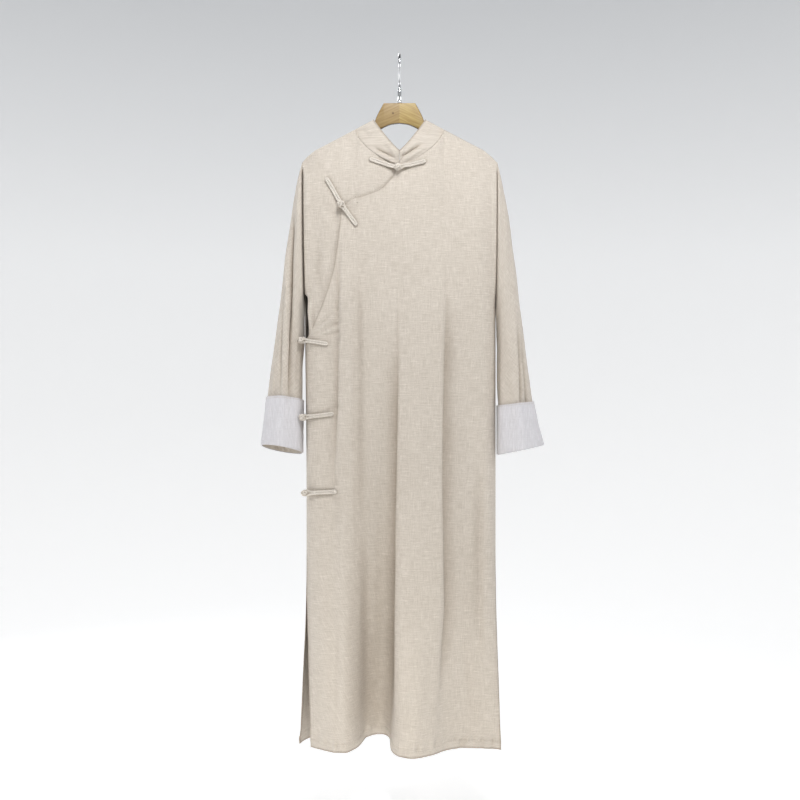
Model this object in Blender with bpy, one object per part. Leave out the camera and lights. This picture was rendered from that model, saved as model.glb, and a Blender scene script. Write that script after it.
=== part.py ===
"""A changshan, a long Chinese gown with a side closing and five knot buttons, hanging on a wooden hanger.

Tables and sizes are in millimetres: +X to the viewer's right, +Y to the back, +Z up.
The origin is where a rod bears in the hook. Each piece that is cut and sewn is one object.
"""

import math

import bpy
import numpy as np

MM = 0.001
SHARP_ANGLE = 40.0

# Cloth walls and the gaps between pieces
CLOTH = 1.6
COLLAR_CLOTH = 2.0
SEAM_GAP = 0.3
LAYER_GAP = 1.5
SHOULDER_SEAM_HALF = 0.8

# Heights
SHOULDER_END_Z = -228.0
UNDERARM_Z = -548.0
WAIST_Z = -950.0
SLIT_TOP_Z = -1090.0
HEM_Z = -1482.0
UNDER_FRONT_HEM_Z = -1060.0

# Armhole and shoulder
ARMHOLE_DEPTH = 28.0
ARMHOLE_BLEND = 45.0
SHOULDER_ROUND = 8.5
SHOULDER_TURN = 25.0
YOKE_FALL = 90.0
SETTLE_START = 0.75
LEFT_SHOULDER_X = -208.0
RIGHT_SHOULDER_X = 209.0

# Neckline: an open U that droops behind the hanger as much as in front
NECK_HALF = 95.0
NECK_SIDE_Z = -157.5
NECK_FRONT_DROP = 79.0
NECK_BACK_DROP = 84.0
NECK_FRONT_DEPTH = 33.0
NECK_BACK_DEPTH = 48.0
NECK_FRONT_POWER = 1.56
NECK_BACK_POWER = 2.0
NECK_FLATNESS = 7.0

# Shoulder line of both sides, from the collar's top edge outwards
# distance from the middle, height
SHOULDER_LINE = [
    (55, -136.5),
    (68, -141.5),
    (83, -150),
    (NECK_HALF, NECK_SIDE_Z),
    (113, -167),
    (145, -184),
    (180, -202),
    (199, -217.5),
    (208.5, SHOULDER_END_Z),
]

# Front, from the left side seam to the right one: crests stand out to -Y, valleys go back
# place, armhole y, underarm x, underarm y, waist x, waist y, hem x, hem y
FRONT_FOLDS = [
    ("left edge", -28, -203, -0.3, -199, -0.3, -190, -8),
    ("left side", -33, -196, -24, -193, -20, -181, -16),
    ("left bulge", -40, -174, -41, -169, -34, -156, -37),
    ("left crease", -45, -128, -47, -139, -34, -138, -49),
    ("first crest", -47, -105, -53, -119, -44, -117, -52),
    ("first fall", -48, -80, -51, -90, -33, -89, -8),
    ("valley near side", -48, -56, -50, -65, -19, -71, 70),
    ("valley", -49, -32, -49, -33, -16, -43, 93),
    ("valley far side", -49, -14, -50, -13, -22, -22, 62),
    ("second rise", -49, -3, -52, -5, -38, -18, -30),
    ("second crest near side", -49, 18, -54, 10, -50, 1, -80),
    ("second crest", -49, 53, -54, 47, -54, 28, -94),
    ("second crest far side", -48, 85, -53, 88, -47, 64, -72),
    ("second fall", -47, 107, -51, 101, -35, 101, -32),
    ("second valley", -45, 139, -47, 139, -25, 138, -15),
    ("right bulge", -41, 178, -41, 182, -25, 180, -19),
    ("right side", -33, 199, -24, 200, -14, 208, -25),
    ("right edge", -28, 206, -0.3, 206, -0.3, 216, -29),
]

# Back, from the same left seam to the right one: crests stand out to +Y
# place, armhole y, underarm x, underarm y, waist x, waist y, hem x, hem y
BACK_FOLDS = [
    ("left edge", 28, -203, 0.3, -199.3, 0.3, -215, 15.5),
    ("left side", 33, -196, 24, -195, 22, -207, 46),
    ("left bulge", 39, -174, 39, -173, 37, -184, 80),
    ("first crest", 45, -132, 46, -136, 50, -150, 120),
    ("first fall", 47, -97, 47, -100, 40, -113, 112),
    ("first valley", 48, -62, 46, -66, 24, -80, 102),
    ("second rise", 48, -28, 47, -30, 38, -44, 126),
    ("second crest", 48, 4, 48, 2, 55, -6, 142),
    ("second crest far side", 48, 38, 48, 36, 52, 28, 132),
    ("second fall", 47, 72, 47, 72, 34, 64, 98),
    ("second valley", 46, 106, 46, 106, 26, 99, 82),
    ("third rise", 44, 140, 43, 138, 40, 134, 104),
    ("third crest", 39, 176, 38, 176, 44, 172, 96),
    ("right side", 33, 199, 24, 199, 22, 201, 50),
    ("right edge", 28, 206, 0.3, 206, 0.3, 208, 10),
]

# Rows of the panels above the underarm, as shares of the way down from the shoulder or neckline
UPPER_ROWS = [0.0, 0.009, 0.026, 0.08, 0.17, 0.29, 0.385, 0.42, 0.50, 0.59, 0.67, 0.745, 0.87, 1.0]
# Heights of the rows below the underarm
LOWER_ROWS = [-580, -594, -607, -621, -680, -745, -815, -885, WAIST_Z, -1020, -1060, SLIT_TOP_Z]
LOWER_ROWS += [-1155, -1225, -1295, -1360, -1420, HEM_Z]

# Overlap line: where the front panel's free edge runs on each row
# row, x of the edge; below the last row the edge is the side seam
OVERLAP_UPPER = [
    (0.0, -3.2),
    (0.17, -33),
    (0.29, -71),
    (0.385, -111),
    (0.42, -123),
    (0.59, -130),
    (0.745, -138),
    (0.87, -151),
    (1.0, -168),
]
OVERLAP_LOWER = [(UNDERARM_Z, -168), (-580, -183), (-594, -189.5), (-607, -197), (-621, -203)]

# Under front: how far it goes in beneath the overlap, and its loose edge at the side opening
# height, x
UNDER_FRONT_INNER = [(NECK_SIDE_Z, 16), (UNDERARM_Z, -56)]
SIDE_OPENING = [(-500, 0.0), (UNDERARM_Z, 9.0), (-580, 13.0), (-600, 9.0), (-621, 0.0)]
UNDER_FRONT_COLUMNS = 13
LAYER_RAMP = 30.0

# Sleeves hang as tubes, ring by ring from the armhole to the cuff's fold
# ring, outer x, outer z, inner x, inner z, middle y, half depth, back edge lower by
LEFT_SLEEVE = [
    ("armhole", -208.5, -228, -204.4, -548, 0, 28, 0),
    ("cap", -215.5, -254, -205.6, -562, 0, 31, 0),
    ("upper arm", -224.5, -296, -206.5, -578, 3, 34, 0),
    ("above elbow", -235, -360, -208, -600, 7, 38, 2),
    ("elbow", -246, -438, -209.5, -628, 11, 41, 5),
    ("below elbow", -256, -523, -210, -658, 13, 43, 9),
    ("forearm", -268, -609, -210, -694, 12, 45, 13),
    ("above cuff", -277, -680, -210, -722, 9, 47, 16),
    ("cuff top", -284, -735, -210, -740, 7, 48, 18),
    ("in the cuff", -290, -785, -210, -794, 6, 49, 18),
    ("cuff fold", -296.5, -837, -209.5, -852, 6, 50, 18),
]
RIGHT_SLEEVE = [
    ("armhole", 209.5, -228, 207.4, -548, 0, 28, 0),
    ("cap", 216.5, -254, 208.6, -562, 0, 31, 0),
    ("upper arm", 225.5, -296, 210, -578, 3, 34, 0),
    ("above elbow", 236.5, -360, 210.5, -600, 6, 38, 1),
    ("elbow", 247, -438, 210.5, -628, 8, 42, 2),
    ("below elbow", 257, -523, 210.5, -658, 8, 44, 3),
    ("forearm", 268, -609, 210.5, -694, 6, 46, 3),
    ("above cuff", 278, -690, 211.5, -730, 3, 48, 3),
    ("cuff top", 285, -742, 212.5, -750, 0, 49, 3),
    ("in the cuff", 295, -788, 212, -802, -2, 50, 3),
    ("cuff fold", 308, -835, 211, -856, -3, 51, 3),
]
# Folds of a sleeve: place round the ring in degrees (0 outer, 90 front, 270 back), half width in
# degrees, depth at the cuff's top edge, ring where it starts
SLEEVE_FOLDS = [
    ("front long fold", 118, 20, 7.0, 3),
    ("front short fold", 62, 16, 4.0, 5),
    ("back long fold", 250, 22, 7.0, 3),
    ("back short fold", 300, 16, 4.5, 5),
]
SLEEVE_SIDES = 20
CUFF_GAP = 0.5
CUFF_FLARE = 1.5
CUFF_TOP_RING = 8
CUFF_CALM = 0.75

# Collar: a stand band, leaning in at the sides and back behind
COLLAR_TOP_HALF = 55.0
COLLAR_TOP_SIDE_Z = -136.5
COLLAR_TOP_FRONT_DROP = 73.0
COLLAR_TOP_BACK_DROP = 72.0
COLLAR_TOP_FRONT_Y = 41.0
COLLAR_TOP_BACK_Y = 80.0
COLLAR_TOP_FRONT_POWER = 1.12
COLLAR_TOP_BACK_POWER = 2.0
COLLAR_LEAN_POWER = 0.8
COLLAR_COLUMNS = 40
COLLAR_ROWS = 4
COLLAR_OPENING = 1.2
COLLAR_SEAM_GAP = 1.4
COLLAR_BACK_SEAM_GAP = 2.0

# Knot buttons of doubled cord
CORD_RADIUS = 2.1
CORD_PITCH = 4.5
CORD_LIFT = 0.6
LOOP_RADIUS = 6.2
LOOP_LIFT = 4.7
BALL_LIFT = 13.5
# The knotted ball on its stalk: height from the ball's middle, radius
BALL_SHAPE = [(-8.2, 1.9), (-5.0, 1.9), (-3.4, 5.2), (0.0, 6.4), (3.4, 5.2), (5.0, 2.2)]
# The strap's end narrows into the stalk: half width of its last two rings, half height of the last
STRAP_END_WIDE = [3.2, 2.4]
STRAP_END_TALL = 1.9
LOOP_START, LOOP_END, LOOP_STEPS = 35.0, 325.0, 9
STRAP_SIDES = 8
LOOP_SIDES = 6
KNOT_STEPS = 7
KNOT_LEAST_DOWN = 0.012

# Knots on the front: ball x, z, then the far end of the button's strap and of the loop's strap
FRONT_KNOTS = [
    ("1", (-4.0, -247.5), (-60.0, -229.0), (52.0, -233.0)),
    ("2", (-122.5, -325.0), (-153.5, -270.0), (-92.0, -367.0)),
]
# Knots down the left side: height of the ball, place of the ball and of the loop strap's far end
# round the side (before the seam is the front), height of that far end
SIDE_KNOTS = [
    ("3", -611.0, -22.0, -72.0, -619.5),
    ("4", -775.0, -22.0, -80.0, -768.0),
    ("5", -936.0, -24.0, -86.0, -932.5),
]
SIDE_STRAP_BACK_END = 34.0
SIDE_WRAP_REACH = 0.3

# Hanger: two glued halves of flat wood with rounded edges
HANGER_HALF_DEPTH = 5.2
HANGER_GLUE_GAP = 0.3
HANGER_EDGE_STEPS = 3
HANGER_BLOCK_HALF = 33
HANGER_BLOCK_ROUND = 1.5
# distance from the middle, top height, bottom height
HANGER_OUTLINE = [
    (0, -101, -144),
    (16, -101, -146),
    (33, -101, -152.5),
    (38, -108, -155.5),
    (44, -118.5, -159),
    (50, -131, -163),
    (54, -141.5, -166),
    (61, -147, -172),
    (78, -157, -183),
    (88, -166.5, -191),
    (96, -171.3, -196),
    (113, -174.5, -204),
    (125, -179.4, -209),
    (155, -194.8, -223),
    (182, -210.4, -235),
    (195, -221.4, -241),
    (202, -231, -240),
]

# Hook and ferrule
WIRE_RADIUS = 3.0
HOOK_INNER_RADIUS = 18.0
HOOK_TIP_ANGLE = -35.0
HOOK_STEP_ANGLE = 21.5
# The shank from the ferrule up to the bend: y, z
HOOK_SHANK = [(0, -68), (0, -59), (-4, -50), (-13, -38), (-19.5, -27)]
# The wire's rounded tip: distance past the bend, radius
HOOK_TIP = [(1.8, 2.3), (2.8, 1.0)]
WIRE_SIDES = 10
# The ferrule from its foot up: z, radius
FERRULE_SHAPE = [(-100.6, 4.4), (-99.6, 5.0), (-74.0, 5.0), (-71.0, 3.4), (-68.4, 3.2)]
FERRULE_SIDES = 14

# Finishes
# name: colour, roughness, metallic
FINISHES = {
    "beige_cloth": ((0.58, 0.51, 0.43, 1.0), 0.92, 0.0),
    "white_cloth": ((0.80, 0.79, 0.80, 1.0), 0.9, 0.0),
    "hanger_wood": ((0.50, 0.35, 0.17, 1.0), 0.55, 0.0),
    "chrome": ((0.78, 0.78, 0.80, 1.0), 0.12, 1.0),
}


def finish(name):
    """Returns the named material, making it on first use."""
    made = bpy.data.materials.get(name)
    if made:
        return made
    colour, roughness, metallic = FINISHES[name]
    made = bpy.data.materials.new(name)
    made.use_nodes = True
    shader = made.node_tree.nodes["Principled BSDF"]
    shader.inputs["Base Color"].default_value = colour
    shader.inputs["Roughness"].default_value = roughness
    shader.inputs["Metallic"].default_value = metallic
    return made


def add_object(name, points, faces, material):
    """Adds one closed solid from points in millimetres."""
    mesh = bpy.data.meshes.new(name)
    mesh.from_pydata((np.asarray(points, float) * MM).tolist(), [], faces)
    mesh.update()
    mesh.shade_smooth()
    mesh.set_sharp_from_angle(angle=math.radians(SHARP_ANGLE))
    mesh.materials.append(finish(material))
    made = bpy.data.objects.new(name, mesh)
    bpy.context.scene.collection.objects.link(made)
    return made


def ease(value):
    """Goes from 0 to 1 with level ends."""
    value = np.clip(value, 0.0, 1.0)
    return value * value * (3.0 - 2.0 * value)


def through(knots, values, at):
    """Reads a smooth curve through the values that never overshoots them."""
    knots = np.asarray(knots, float)
    values = np.asarray(values, float)
    at = np.clip(np.asarray(at, float), knots[0], knots[-1])
    steps = np.diff(knots)
    slopes = np.diff(values) / steps
    tangents = np.zeros_like(values)
    tangents[0] = slopes[0]
    tangents[-1] = slopes[-1]
    for i in range(1, len(values) - 1):
        if slopes[i - 1] * slopes[i] > 0:
            before = 2 * steps[i] + steps[i - 1]
            after = steps[i] + 2 * steps[i - 1]
            tangents[i] = (before + after) / (before / slopes[i - 1] + after / slopes[i])
    place = np.clip(np.searchsorted(knots, at, side="right") - 1, 0, len(steps) - 1)
    share = (at - knots[place]) / steps[place]
    square = share * share
    cube = square * share
    return (
        values[place] * (2 * cube - 3 * square + 1)
        + tangents[place] * steps[place] * (cube - 2 * square + share)
        + values[place + 1] * (3 * square - 2 * cube)
        + tangents[place + 1] * steps[place] * (cube - square)
    )


def unit(vectors):
    """Scales vectors to length one."""
    return vectors / np.maximum(np.linalg.norm(vectors, axis=-1, keepdims=True), 1e-9)


def shoulder_height(x):
    """Height of the shoulder line over a place."""
    away = [row[0] for row in SHOULDER_LINE]
    return np.interp(np.abs(x), away, [row[1] for row in SHOULDER_LINE])


def neck_height(x, drop, power):
    """Height of the neckline, an open curve between the two side neck points."""
    share = np.clip(np.abs(x) / NECK_HALF, 0.0, 1.0)
    return NECK_SIDE_Z - drop * (1.0 - share**power) ** (1.0 / power)


def neck_depth(x, depth):
    """How far the neckline stands out from the hanger's plane."""
    share = np.clip(np.abs(x) / NECK_HALF, 0.0, 1.0)
    return depth * (1.0 - share**NECK_FLATNESS)


class Panel:
    """A body panel's middle surface: across from 0 to 1, down from 0 to 1 (underarm) to 2 (hem)."""

    def __init__(self, folds, side, neck_drop, neck_out, neck_power):
        rows = np.array([row[1:] for row in folds], float)
        self.arm_y, self.under_x, self.under_y, self.waist_x, self.waist_y, self.hem_x, self.hem_y = rows.T
        self.side = side
        self.neck_drop = neck_drop
        self.neck_out = neck_out
        self.neck_power = neck_power
        steps = (
            np.hypot(np.diff(self.under_x), np.diff(self.under_y))
            + np.hypot(np.diff(self.waist_x), np.diff(self.waist_y))
            + np.hypot(np.diff(self.hem_x), np.diff(self.hem_y))
        )
        self.places = np.concatenate([[0.0], np.cumsum(steps)]) / steps.sum()
        spread = (self.under_x - self.under_x[0]) / (self.under_x[-1] - self.under_x[0])
        self.top_x = LEFT_SHOULDER_X + (RIGHT_SHOULDER_X - LEFT_SHOULDER_X) * spread

    def top_height(self, x):
        neck = neck_height(x, self.neck_drop, self.neck_power)
        return np.where(np.abs(x) < NECK_HALF, neck, shoulder_height(x))

    def upper(self, across, down):
        x_top = through(self.places, self.top_x, across)
        x_under = through(self.places, self.under_x, across)
        z_top = self.top_height(x_top)
        x = x_top + (x_under - x_top) * down
        z = z_top + (UNDERARM_Z - z_top) * down
        settled = ease((down - SETTLE_START) / (1 - SETTLE_START))
        body = through(self.places, self.arm_y, across) * (1 - settled)
        body = body + through(self.places, self.under_y, across) * settled
        fallen = z_top - z
        rise = (1 - np.exp(-fallen / YOKE_FALL)) / (1 - np.exp(-(z_top - UNDERARM_Z) / YOKE_FALL))
        on_shoulder = ease((np.abs(x_top) - NECK_HALF + SHOULDER_TURN) / SHOULDER_TURN)
        rounded = np.clip(fallen, 0.0, SHOULDER_ROUND)
        over = np.sqrt(SHOULDER_ROUND**2 - (SHOULDER_ROUND - rounded) ** 2)
        start = np.maximum(neck_depth(x_top, self.neck_out), SHOULDER_SEAM_HALF)
        y = self.side * (start + on_shoulder * over)
        y = y + (body - self.side * (start + on_shoulder * SHOULDER_ROUND)) * rise
        half = (SHOULDER_END_Z - UNDERARM_Z) / 2
        level = np.clip((z - UNDERARM_Z - half) / half, -1.0, 1.0)
        least = np.where(level > 0, SHOULDER_SEAM_HALF, SEAM_GAP)
        edge = self.side * np.maximum(ARMHOLE_DEPTH * np.sqrt(1 - level**2), least)
        from_edge = np.minimum(x_top - self.top_x[0], self.top_x[-1] - x_top)
        near = np.clip(1 - from_edge / ARMHOLE_BLEND, 0.0, 1.0) ** 2 * (1 - settled)
        return np.stack([x, y * (1 - near) + edge * near, z], axis=-1)

    def lower(self, across, z):
        xs = []
        ys = []
        last = len(self.places) - 1
        for i in range(last + 1):
            heights = [UNDERARM_Z, WAIST_Z, HEM_Z]
            x_knots = [self.under_x[i], self.waist_x[i], self.hem_x[i]]
            y_knots = [self.under_y[i], self.waist_y[i], self.hem_y[i]]
            if i in (0, last):
                heights.insert(2, SLIT_TOP_Z)
                x_knots.insert(2, self.waist_x[i])
                y_knots.insert(2, self.waist_y[i])
            depths = [-height for height in heights]
            xs.append(float(through(depths, x_knots, -z)))
            ys.append(float(through(depths, y_knots, -z)))
        x = through(self.places, xs, across)
        y = through(self.places, ys, across)
        return np.stack([x, y, np.full_like(x, z)], axis=-1)

    def points(self, across, down):
        across = np.clip(np.atleast_1d(np.asarray(across, float)), 0.0, 1.0)
        if down <= 1.0:
            return self.upper(across, down)
        return self.lower(across, UNDERARM_Z + (HEM_Z - UNDERARM_Z) * (down - 1.0))

    def outward(self, across, down):
        """Normals that point out of the garment."""
        across = np.atleast_1d(np.asarray(across, float))
        small = 0.004
        above = self.points(across, max(down - small, 0.0))
        below = self.points(across, min(down + small, 2.0))
        before = self.points(across - small, down)
        after = self.points(across + small, down)
        return unit(np.cross(after - before, below - above)) * self.side

    def across_at(self, x, down):
        """The place across where the row passes over x."""
        places = np.linspace(0.0, 1.0, 241)
        row = self.points(places, down)[:, 0]
        return float(np.interp(x, np.maximum.accumulate(row), places))

    def find(self, x, z):
        """The place across and down of the surface over x at height z."""
        across, down = 0.5, 0.5
        for _ in range(30):
            if z < UNDERARM_Z:
                down = 1.0 + (UNDERARM_Z - z) / (UNDERARM_Z - HEM_Z)
            else:
                top = float(self.top_height(through(self.places, self.top_x, [across]))[0])
                down = (top - z) / (top - UNDERARM_Z)
            across = self.across_at(x, down)
        return across, down


def rows_down():
    """All rows of a body panel, from the shoulder to the hem."""
    lower = [1.0 + (UNDERARM_Z - z) / (UNDERARM_Z - HEM_Z) for z in LOWER_ROWS]
    return UPPER_ROWS + lower


def height_of(down):
    """Height of a row below the underarm."""
    return UNDERARM_Z + (HEM_Z - UNDERARM_Z) * (down - 1.0)


def halved(places):
    """The fold places and one more between each two."""
    return np.sort(np.concatenate([places, (places[1:] + places[:-1]) / 2]))


def cloth(name, outer, inner, material, closed=False):
    """A cloth wall from its outer and inner points, rows by columns; closed joins up the round."""
    rows, columns = outer.shape[:2]
    count = rows * columns
    points = np.concatenate([outer.reshape(-1, 3), inner.reshape(-1, 3)])
    faces = []

    def at(row, column, layer):
        return layer * count + row * columns + column % columns

    spans = columns if closed else columns - 1
    for row in range(rows - 1):
        for column in range(spans):
            for layer in (0, 1):
                a = at(row, column, layer)
                b = at(row, column + 1, layer)
                c = at(row + 1, column + 1, layer)
                d = at(row + 1, column, layer)
                faces += [(a, c, b), (a, d, c)] if layer == 0 else [(a, b, c), (a, c, d)]
    for row, turn in ((0, False), (rows - 1, True)):
        for column in range(spans):
            a, b = at(row, column, 0), at(row, column + 1, 0)
            c, d = at(row, column + 1, 1), at(row, column, 1)
            faces += [(a, c, d), (a, b, c)] if not turn else [(a, d, c), (a, c, b)]
    if not closed:
        for column, turn in ((0, True), (columns - 1, False)):
            for row in range(rows - 1):
                a, b = at(row, column, 0), at(row + 1, column, 0)
                c, d = at(row + 1, column, 1), at(row, column, 1)
                faces += [(a, c, d), (a, b, c)] if not turn else [(a, d, c), (a, c, b)]
    return add_object(name, points, outward_faces(points, faces), material)


def outward_faces(points, faces):
    """Turns every face round when together they enclose a negative volume."""
    triangles = points[np.asarray(faces)]
    volume = np.einsum("ij,ij->i", triangles[:, 0], np.cross(triangles[:, 1], triangles[:, 2])).sum()
    return faces if volume > 0 else [face[::-1] for face in faces]


def panel_wall(name, panel, rows, spans, moved_in, material):
    """A body panel's wall: spans gives each row's places across, moved_in how far each point lies inside."""
    outer = []
    inner = []
    for down, places in zip(rows, spans):
        middle = panel.points(places, down)
        normal = panel.outward(places, down)
        middle = middle - normal * moved_in(middle, down)[:, None]
        outer.append(middle + normal * CLOTH / 2)
        inner.append(middle - normal * CLOTH / 2)
    return cloth(name, np.array(outer), np.array(inner), material)


def on_surface(points, down):
    """No move: the piece is the surface itself."""
    return np.zeros(len(points))


def overlap_x(down):
    """Where the front panel's free edge lies on a row."""
    if down <= 1.0:
        return np.interp(down, [row[0] for row in OVERLAP_UPPER], [row[1] for row in OVERLAP_UPPER])
    depths = [-row[0] for row in OVERLAP_LOWER]
    return np.interp(-height_of(down), depths, [row[1] for row in OVERLAP_LOWER])


def front_start(panel, down):
    """The front panel's first place across on a row."""
    if down > 1.0 and height_of(down) <= OVERLAP_LOWER[-1][0] + 1:
        return 0.0
    return panel.across_at(overlap_x(down), down)


def build_front(panel):
    rows = rows_down()
    full = halved(panel.places)
    spans = []
    for down in rows:
        start = front_start(panel, down)
        spans.append(start + (1.0 - start) * full)
    panel_wall("front_panel", panel, rows, spans, on_surface, "beige_cloth")


def side_opening(z):
    """How far the under front's loose edge lies in from the side."""
    depths = [-row[0] for row in SIDE_OPENING]
    return np.interp(-z, depths, [row[1] for row in SIDE_OPENING])


def build_under_front(panel):
    bottom = 1.0 + (UNDERARM_Z - UNDER_FRONT_HEM_Z) / (UNDERARM_Z - HEM_Z)
    rows = [down for down in rows_down() if down <= bottom + 1e-6]
    depths = [-row[0] for row in UNDER_FRONT_INNER]
    inner_x = [row[1] for row in UNDER_FRONT_INNER]
    own = halved(panel.places)[:UNDER_FRONT_COLUMNS]
    spans = []
    for down in rows:
        z = float(panel.points(0.3, down)[0, 2])
        left_x = float(panel.points(0.0, down)[0, 0]) + side_opening(z)
        start = panel.across_at(left_x, down) if side_opening(z) > 0 else 0.0
        end = own[-1] if down >= 1.0 else panel.across_at(np.interp(-z, depths, inner_x), down)
        spans.append(start + (end - start) * own / own[-1])

    def beneath(points, down):
        past = points[:, 0] - overlap_x(down)
        if down > 1.0 and height_of(down) <= OVERLAP_LOWER[-1][0]:
            past = np.full(len(points), LAYER_RAMP)
        return (CLOTH + LAYER_GAP) * ease((past + LAYER_RAMP) / LAYER_RAMP)

    panel_wall("under_front", panel, rows, spans, beneath, "beige_cloth")


def build_back(panel):
    rows = rows_down()
    spans = [halved(panel.places)] * len(rows)
    panel_wall("back_panel", panel, rows, spans, on_surface, "beige_cloth")


def sleeve_rings(table, moved_out, first=0):
    """Ring points of a sleeve, moved out from its middle surface by a value for each ring."""
    angles = np.linspace(0.0, 360.0, SLEEVE_SIDES, endpoint=False)
    rings = []
    cuff = table[CUFF_TOP_RING]
    for index, row in enumerate(table):
        _, outer_x, outer_z, inner_x, inner_z, middle_y, half_depth, back_lower = row
        if index < first:
            continue
        grow = moved_out[index]
        middle = np.array([(outer_x + inner_x) / 2, middle_y, (outer_z + inner_z) / 2])
        reach = np.array([outer_x - middle[0], 0.0, outer_z - middle[2]])
        reach = reach * (1 + grow / np.linalg.norm(reach))
        front = np.array([0.0, -(half_depth + grow), back_lower / 2])
        turn = np.radians(angles)[:, None]
        folded = np.ones(len(angles))
        for _, place, width, depth, start in SLEEVE_FOLDS:
            grown = ease((index - start) / (CUFF_TOP_RING - start))
            fade = 1.0 - CUFF_CALM * ease((index - CUFF_TOP_RING) / (len(table) - 1 - CUFF_TOP_RING))
            away = (angles - place + 180) % 360 - 180
            folded -= depth / cuff[6] * grown * fade * np.exp(-((away / width) ** 2))
        folded = folded[:, None]
        rings.append(middle + (reach * np.cos(turn) + front * np.sin(turn)) * folded)
    return np.array(rings)


def build_sleeve(name, table):
    count = len(table)
    outer = sleeve_rings(table, [CLOTH / 2] * count)
    inner = sleeve_rings(table, [-CLOTH / 2] * count)
    # The armhole ring lies in the body's armhole plane, so its wall is in that plane too
    cloth(name, outer, inner, "beige_cloth", closed=True)


def build_cuff(name, table):
    last = len(table) - 1
    lift = CLOTH / 2 + CUFF_GAP
    flare = [CUFF_FLARE * (last - index) / (last - CUFF_TOP_RING) for index in range(len(table))]
    inner = sleeve_rings(table, [lift + part for part in flare], CUFF_TOP_RING)
    outer = sleeve_rings(table, [lift + CLOTH + part for part in flare], CUFF_TOP_RING)
    cloth(name, outer, inner, "white_cloth", closed=True)


def neck_ring(angle):
    """The neck seam and the collar's top edge at an angle: 0 in front, 180 behind, left side first."""
    turn = math.radians(angle)
    sine, cosine = math.sin(turn), math.cos(turn)
    front = cosine > 0
    power = NECK_FRONT_POWER if front else NECK_BACK_POWER
    x = -NECK_HALF * math.copysign(abs(sine) ** (2 / power), sine)
    drop, out = (NECK_FRONT_DROP, -NECK_FRONT_DEPTH) if front else (NECK_BACK_DROP, NECK_BACK_DEPTH)
    seam = np.array([x, neck_depth(x, out), neck_height(x, drop, power)])
    top_power = COLLAR_TOP_FRONT_POWER if front else COLLAR_TOP_BACK_POWER
    top_drop = COLLAR_TOP_FRONT_DROP if front else COLLAR_TOP_BACK_DROP
    top_out = -COLLAR_TOP_FRONT_Y if front else COLLAR_TOP_BACK_Y
    rise = abs(cosine) ** (2 / top_power)
    top_x = -COLLAR_TOP_HALF * math.copysign(abs(sine) ** (2 / top_power), sine)
    top = np.array([top_x, top_out * abs(cosine) ** COLLAR_LEAN_POWER, COLLAR_TOP_SIDE_Z - top_drop * rise])
    return seam, top


def build_collar():
    end = math.degrees(math.asin((COLLAR_OPENING / 2 / NECK_HALF) ** (NECK_FRONT_POWER / 2)))
    angles = np.linspace(end, 360 - end, COLLAR_COLUMNS + 1)
    middle = np.zeros((COLLAR_ROWS, len(angles), 3))
    for column, angle in enumerate(angles):
        seam, top = neck_ring(angle)
        behind = max(0.0, -math.cos(math.radians(angle)))
        gap = COLLAR_SEAM_GAP + (COLLAR_BACK_SEAM_GAP - COLLAR_SEAM_GAP) * behind
        start = seam + (top - seam) * gap / np.linalg.norm(top - seam)
        for row in range(COLLAR_ROWS):
            share = row / (COLLAR_ROWS - 1)
            middle[row, column] = start + (top - start) * share
    around = np.gradient(middle, axis=1)
    up = np.gradient(middle, axis=0)
    normal = unit(np.cross(up, around))
    cloth(
        "collar",
        middle + normal * COLLAR_CLOTH / 2,
        middle - normal * COLLAR_CLOTH / 2,
        "beige_cloth",
    )


def tube(name, path, lateral, half_wide, half_high, sides, material):
    """A capped tube with an oval section at each point of its path."""
    path = np.asarray(path, float)
    along = unit(np.gradient(path, axis=0))
    lateral = unit(lateral - along * np.sum(lateral * along, axis=1, keepdims=True))
    high = np.cross(along, lateral)
    turns = np.linspace(0, 2 * math.pi, sides, endpoint=False)
    rings = []
    for point, side, up, wide, tall in zip(path, lateral, high, half_wide, half_high):
        rings += [point + side * wide * math.cos(t) + up * tall * math.sin(t) for t in turns]
    faces = []
    for ring in range(len(path) - 1):
        for side in range(sides):
            a = ring * sides + side
            b = ring * sides + (side + 1) % sides
            faces += [(a, b, b + sides), (a, b + sides, a + sides)]
    last = (len(path) - 1) * sides
    faces += [(0, side + 1, side) for side in range(1, sides - 1)]
    faces += [(last, last + side, last + side + 1) for side in range(1, sides - 1)]
    points = np.array(rings)
    add_object(name, points, outward_faces(points, faces), material)


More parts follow.
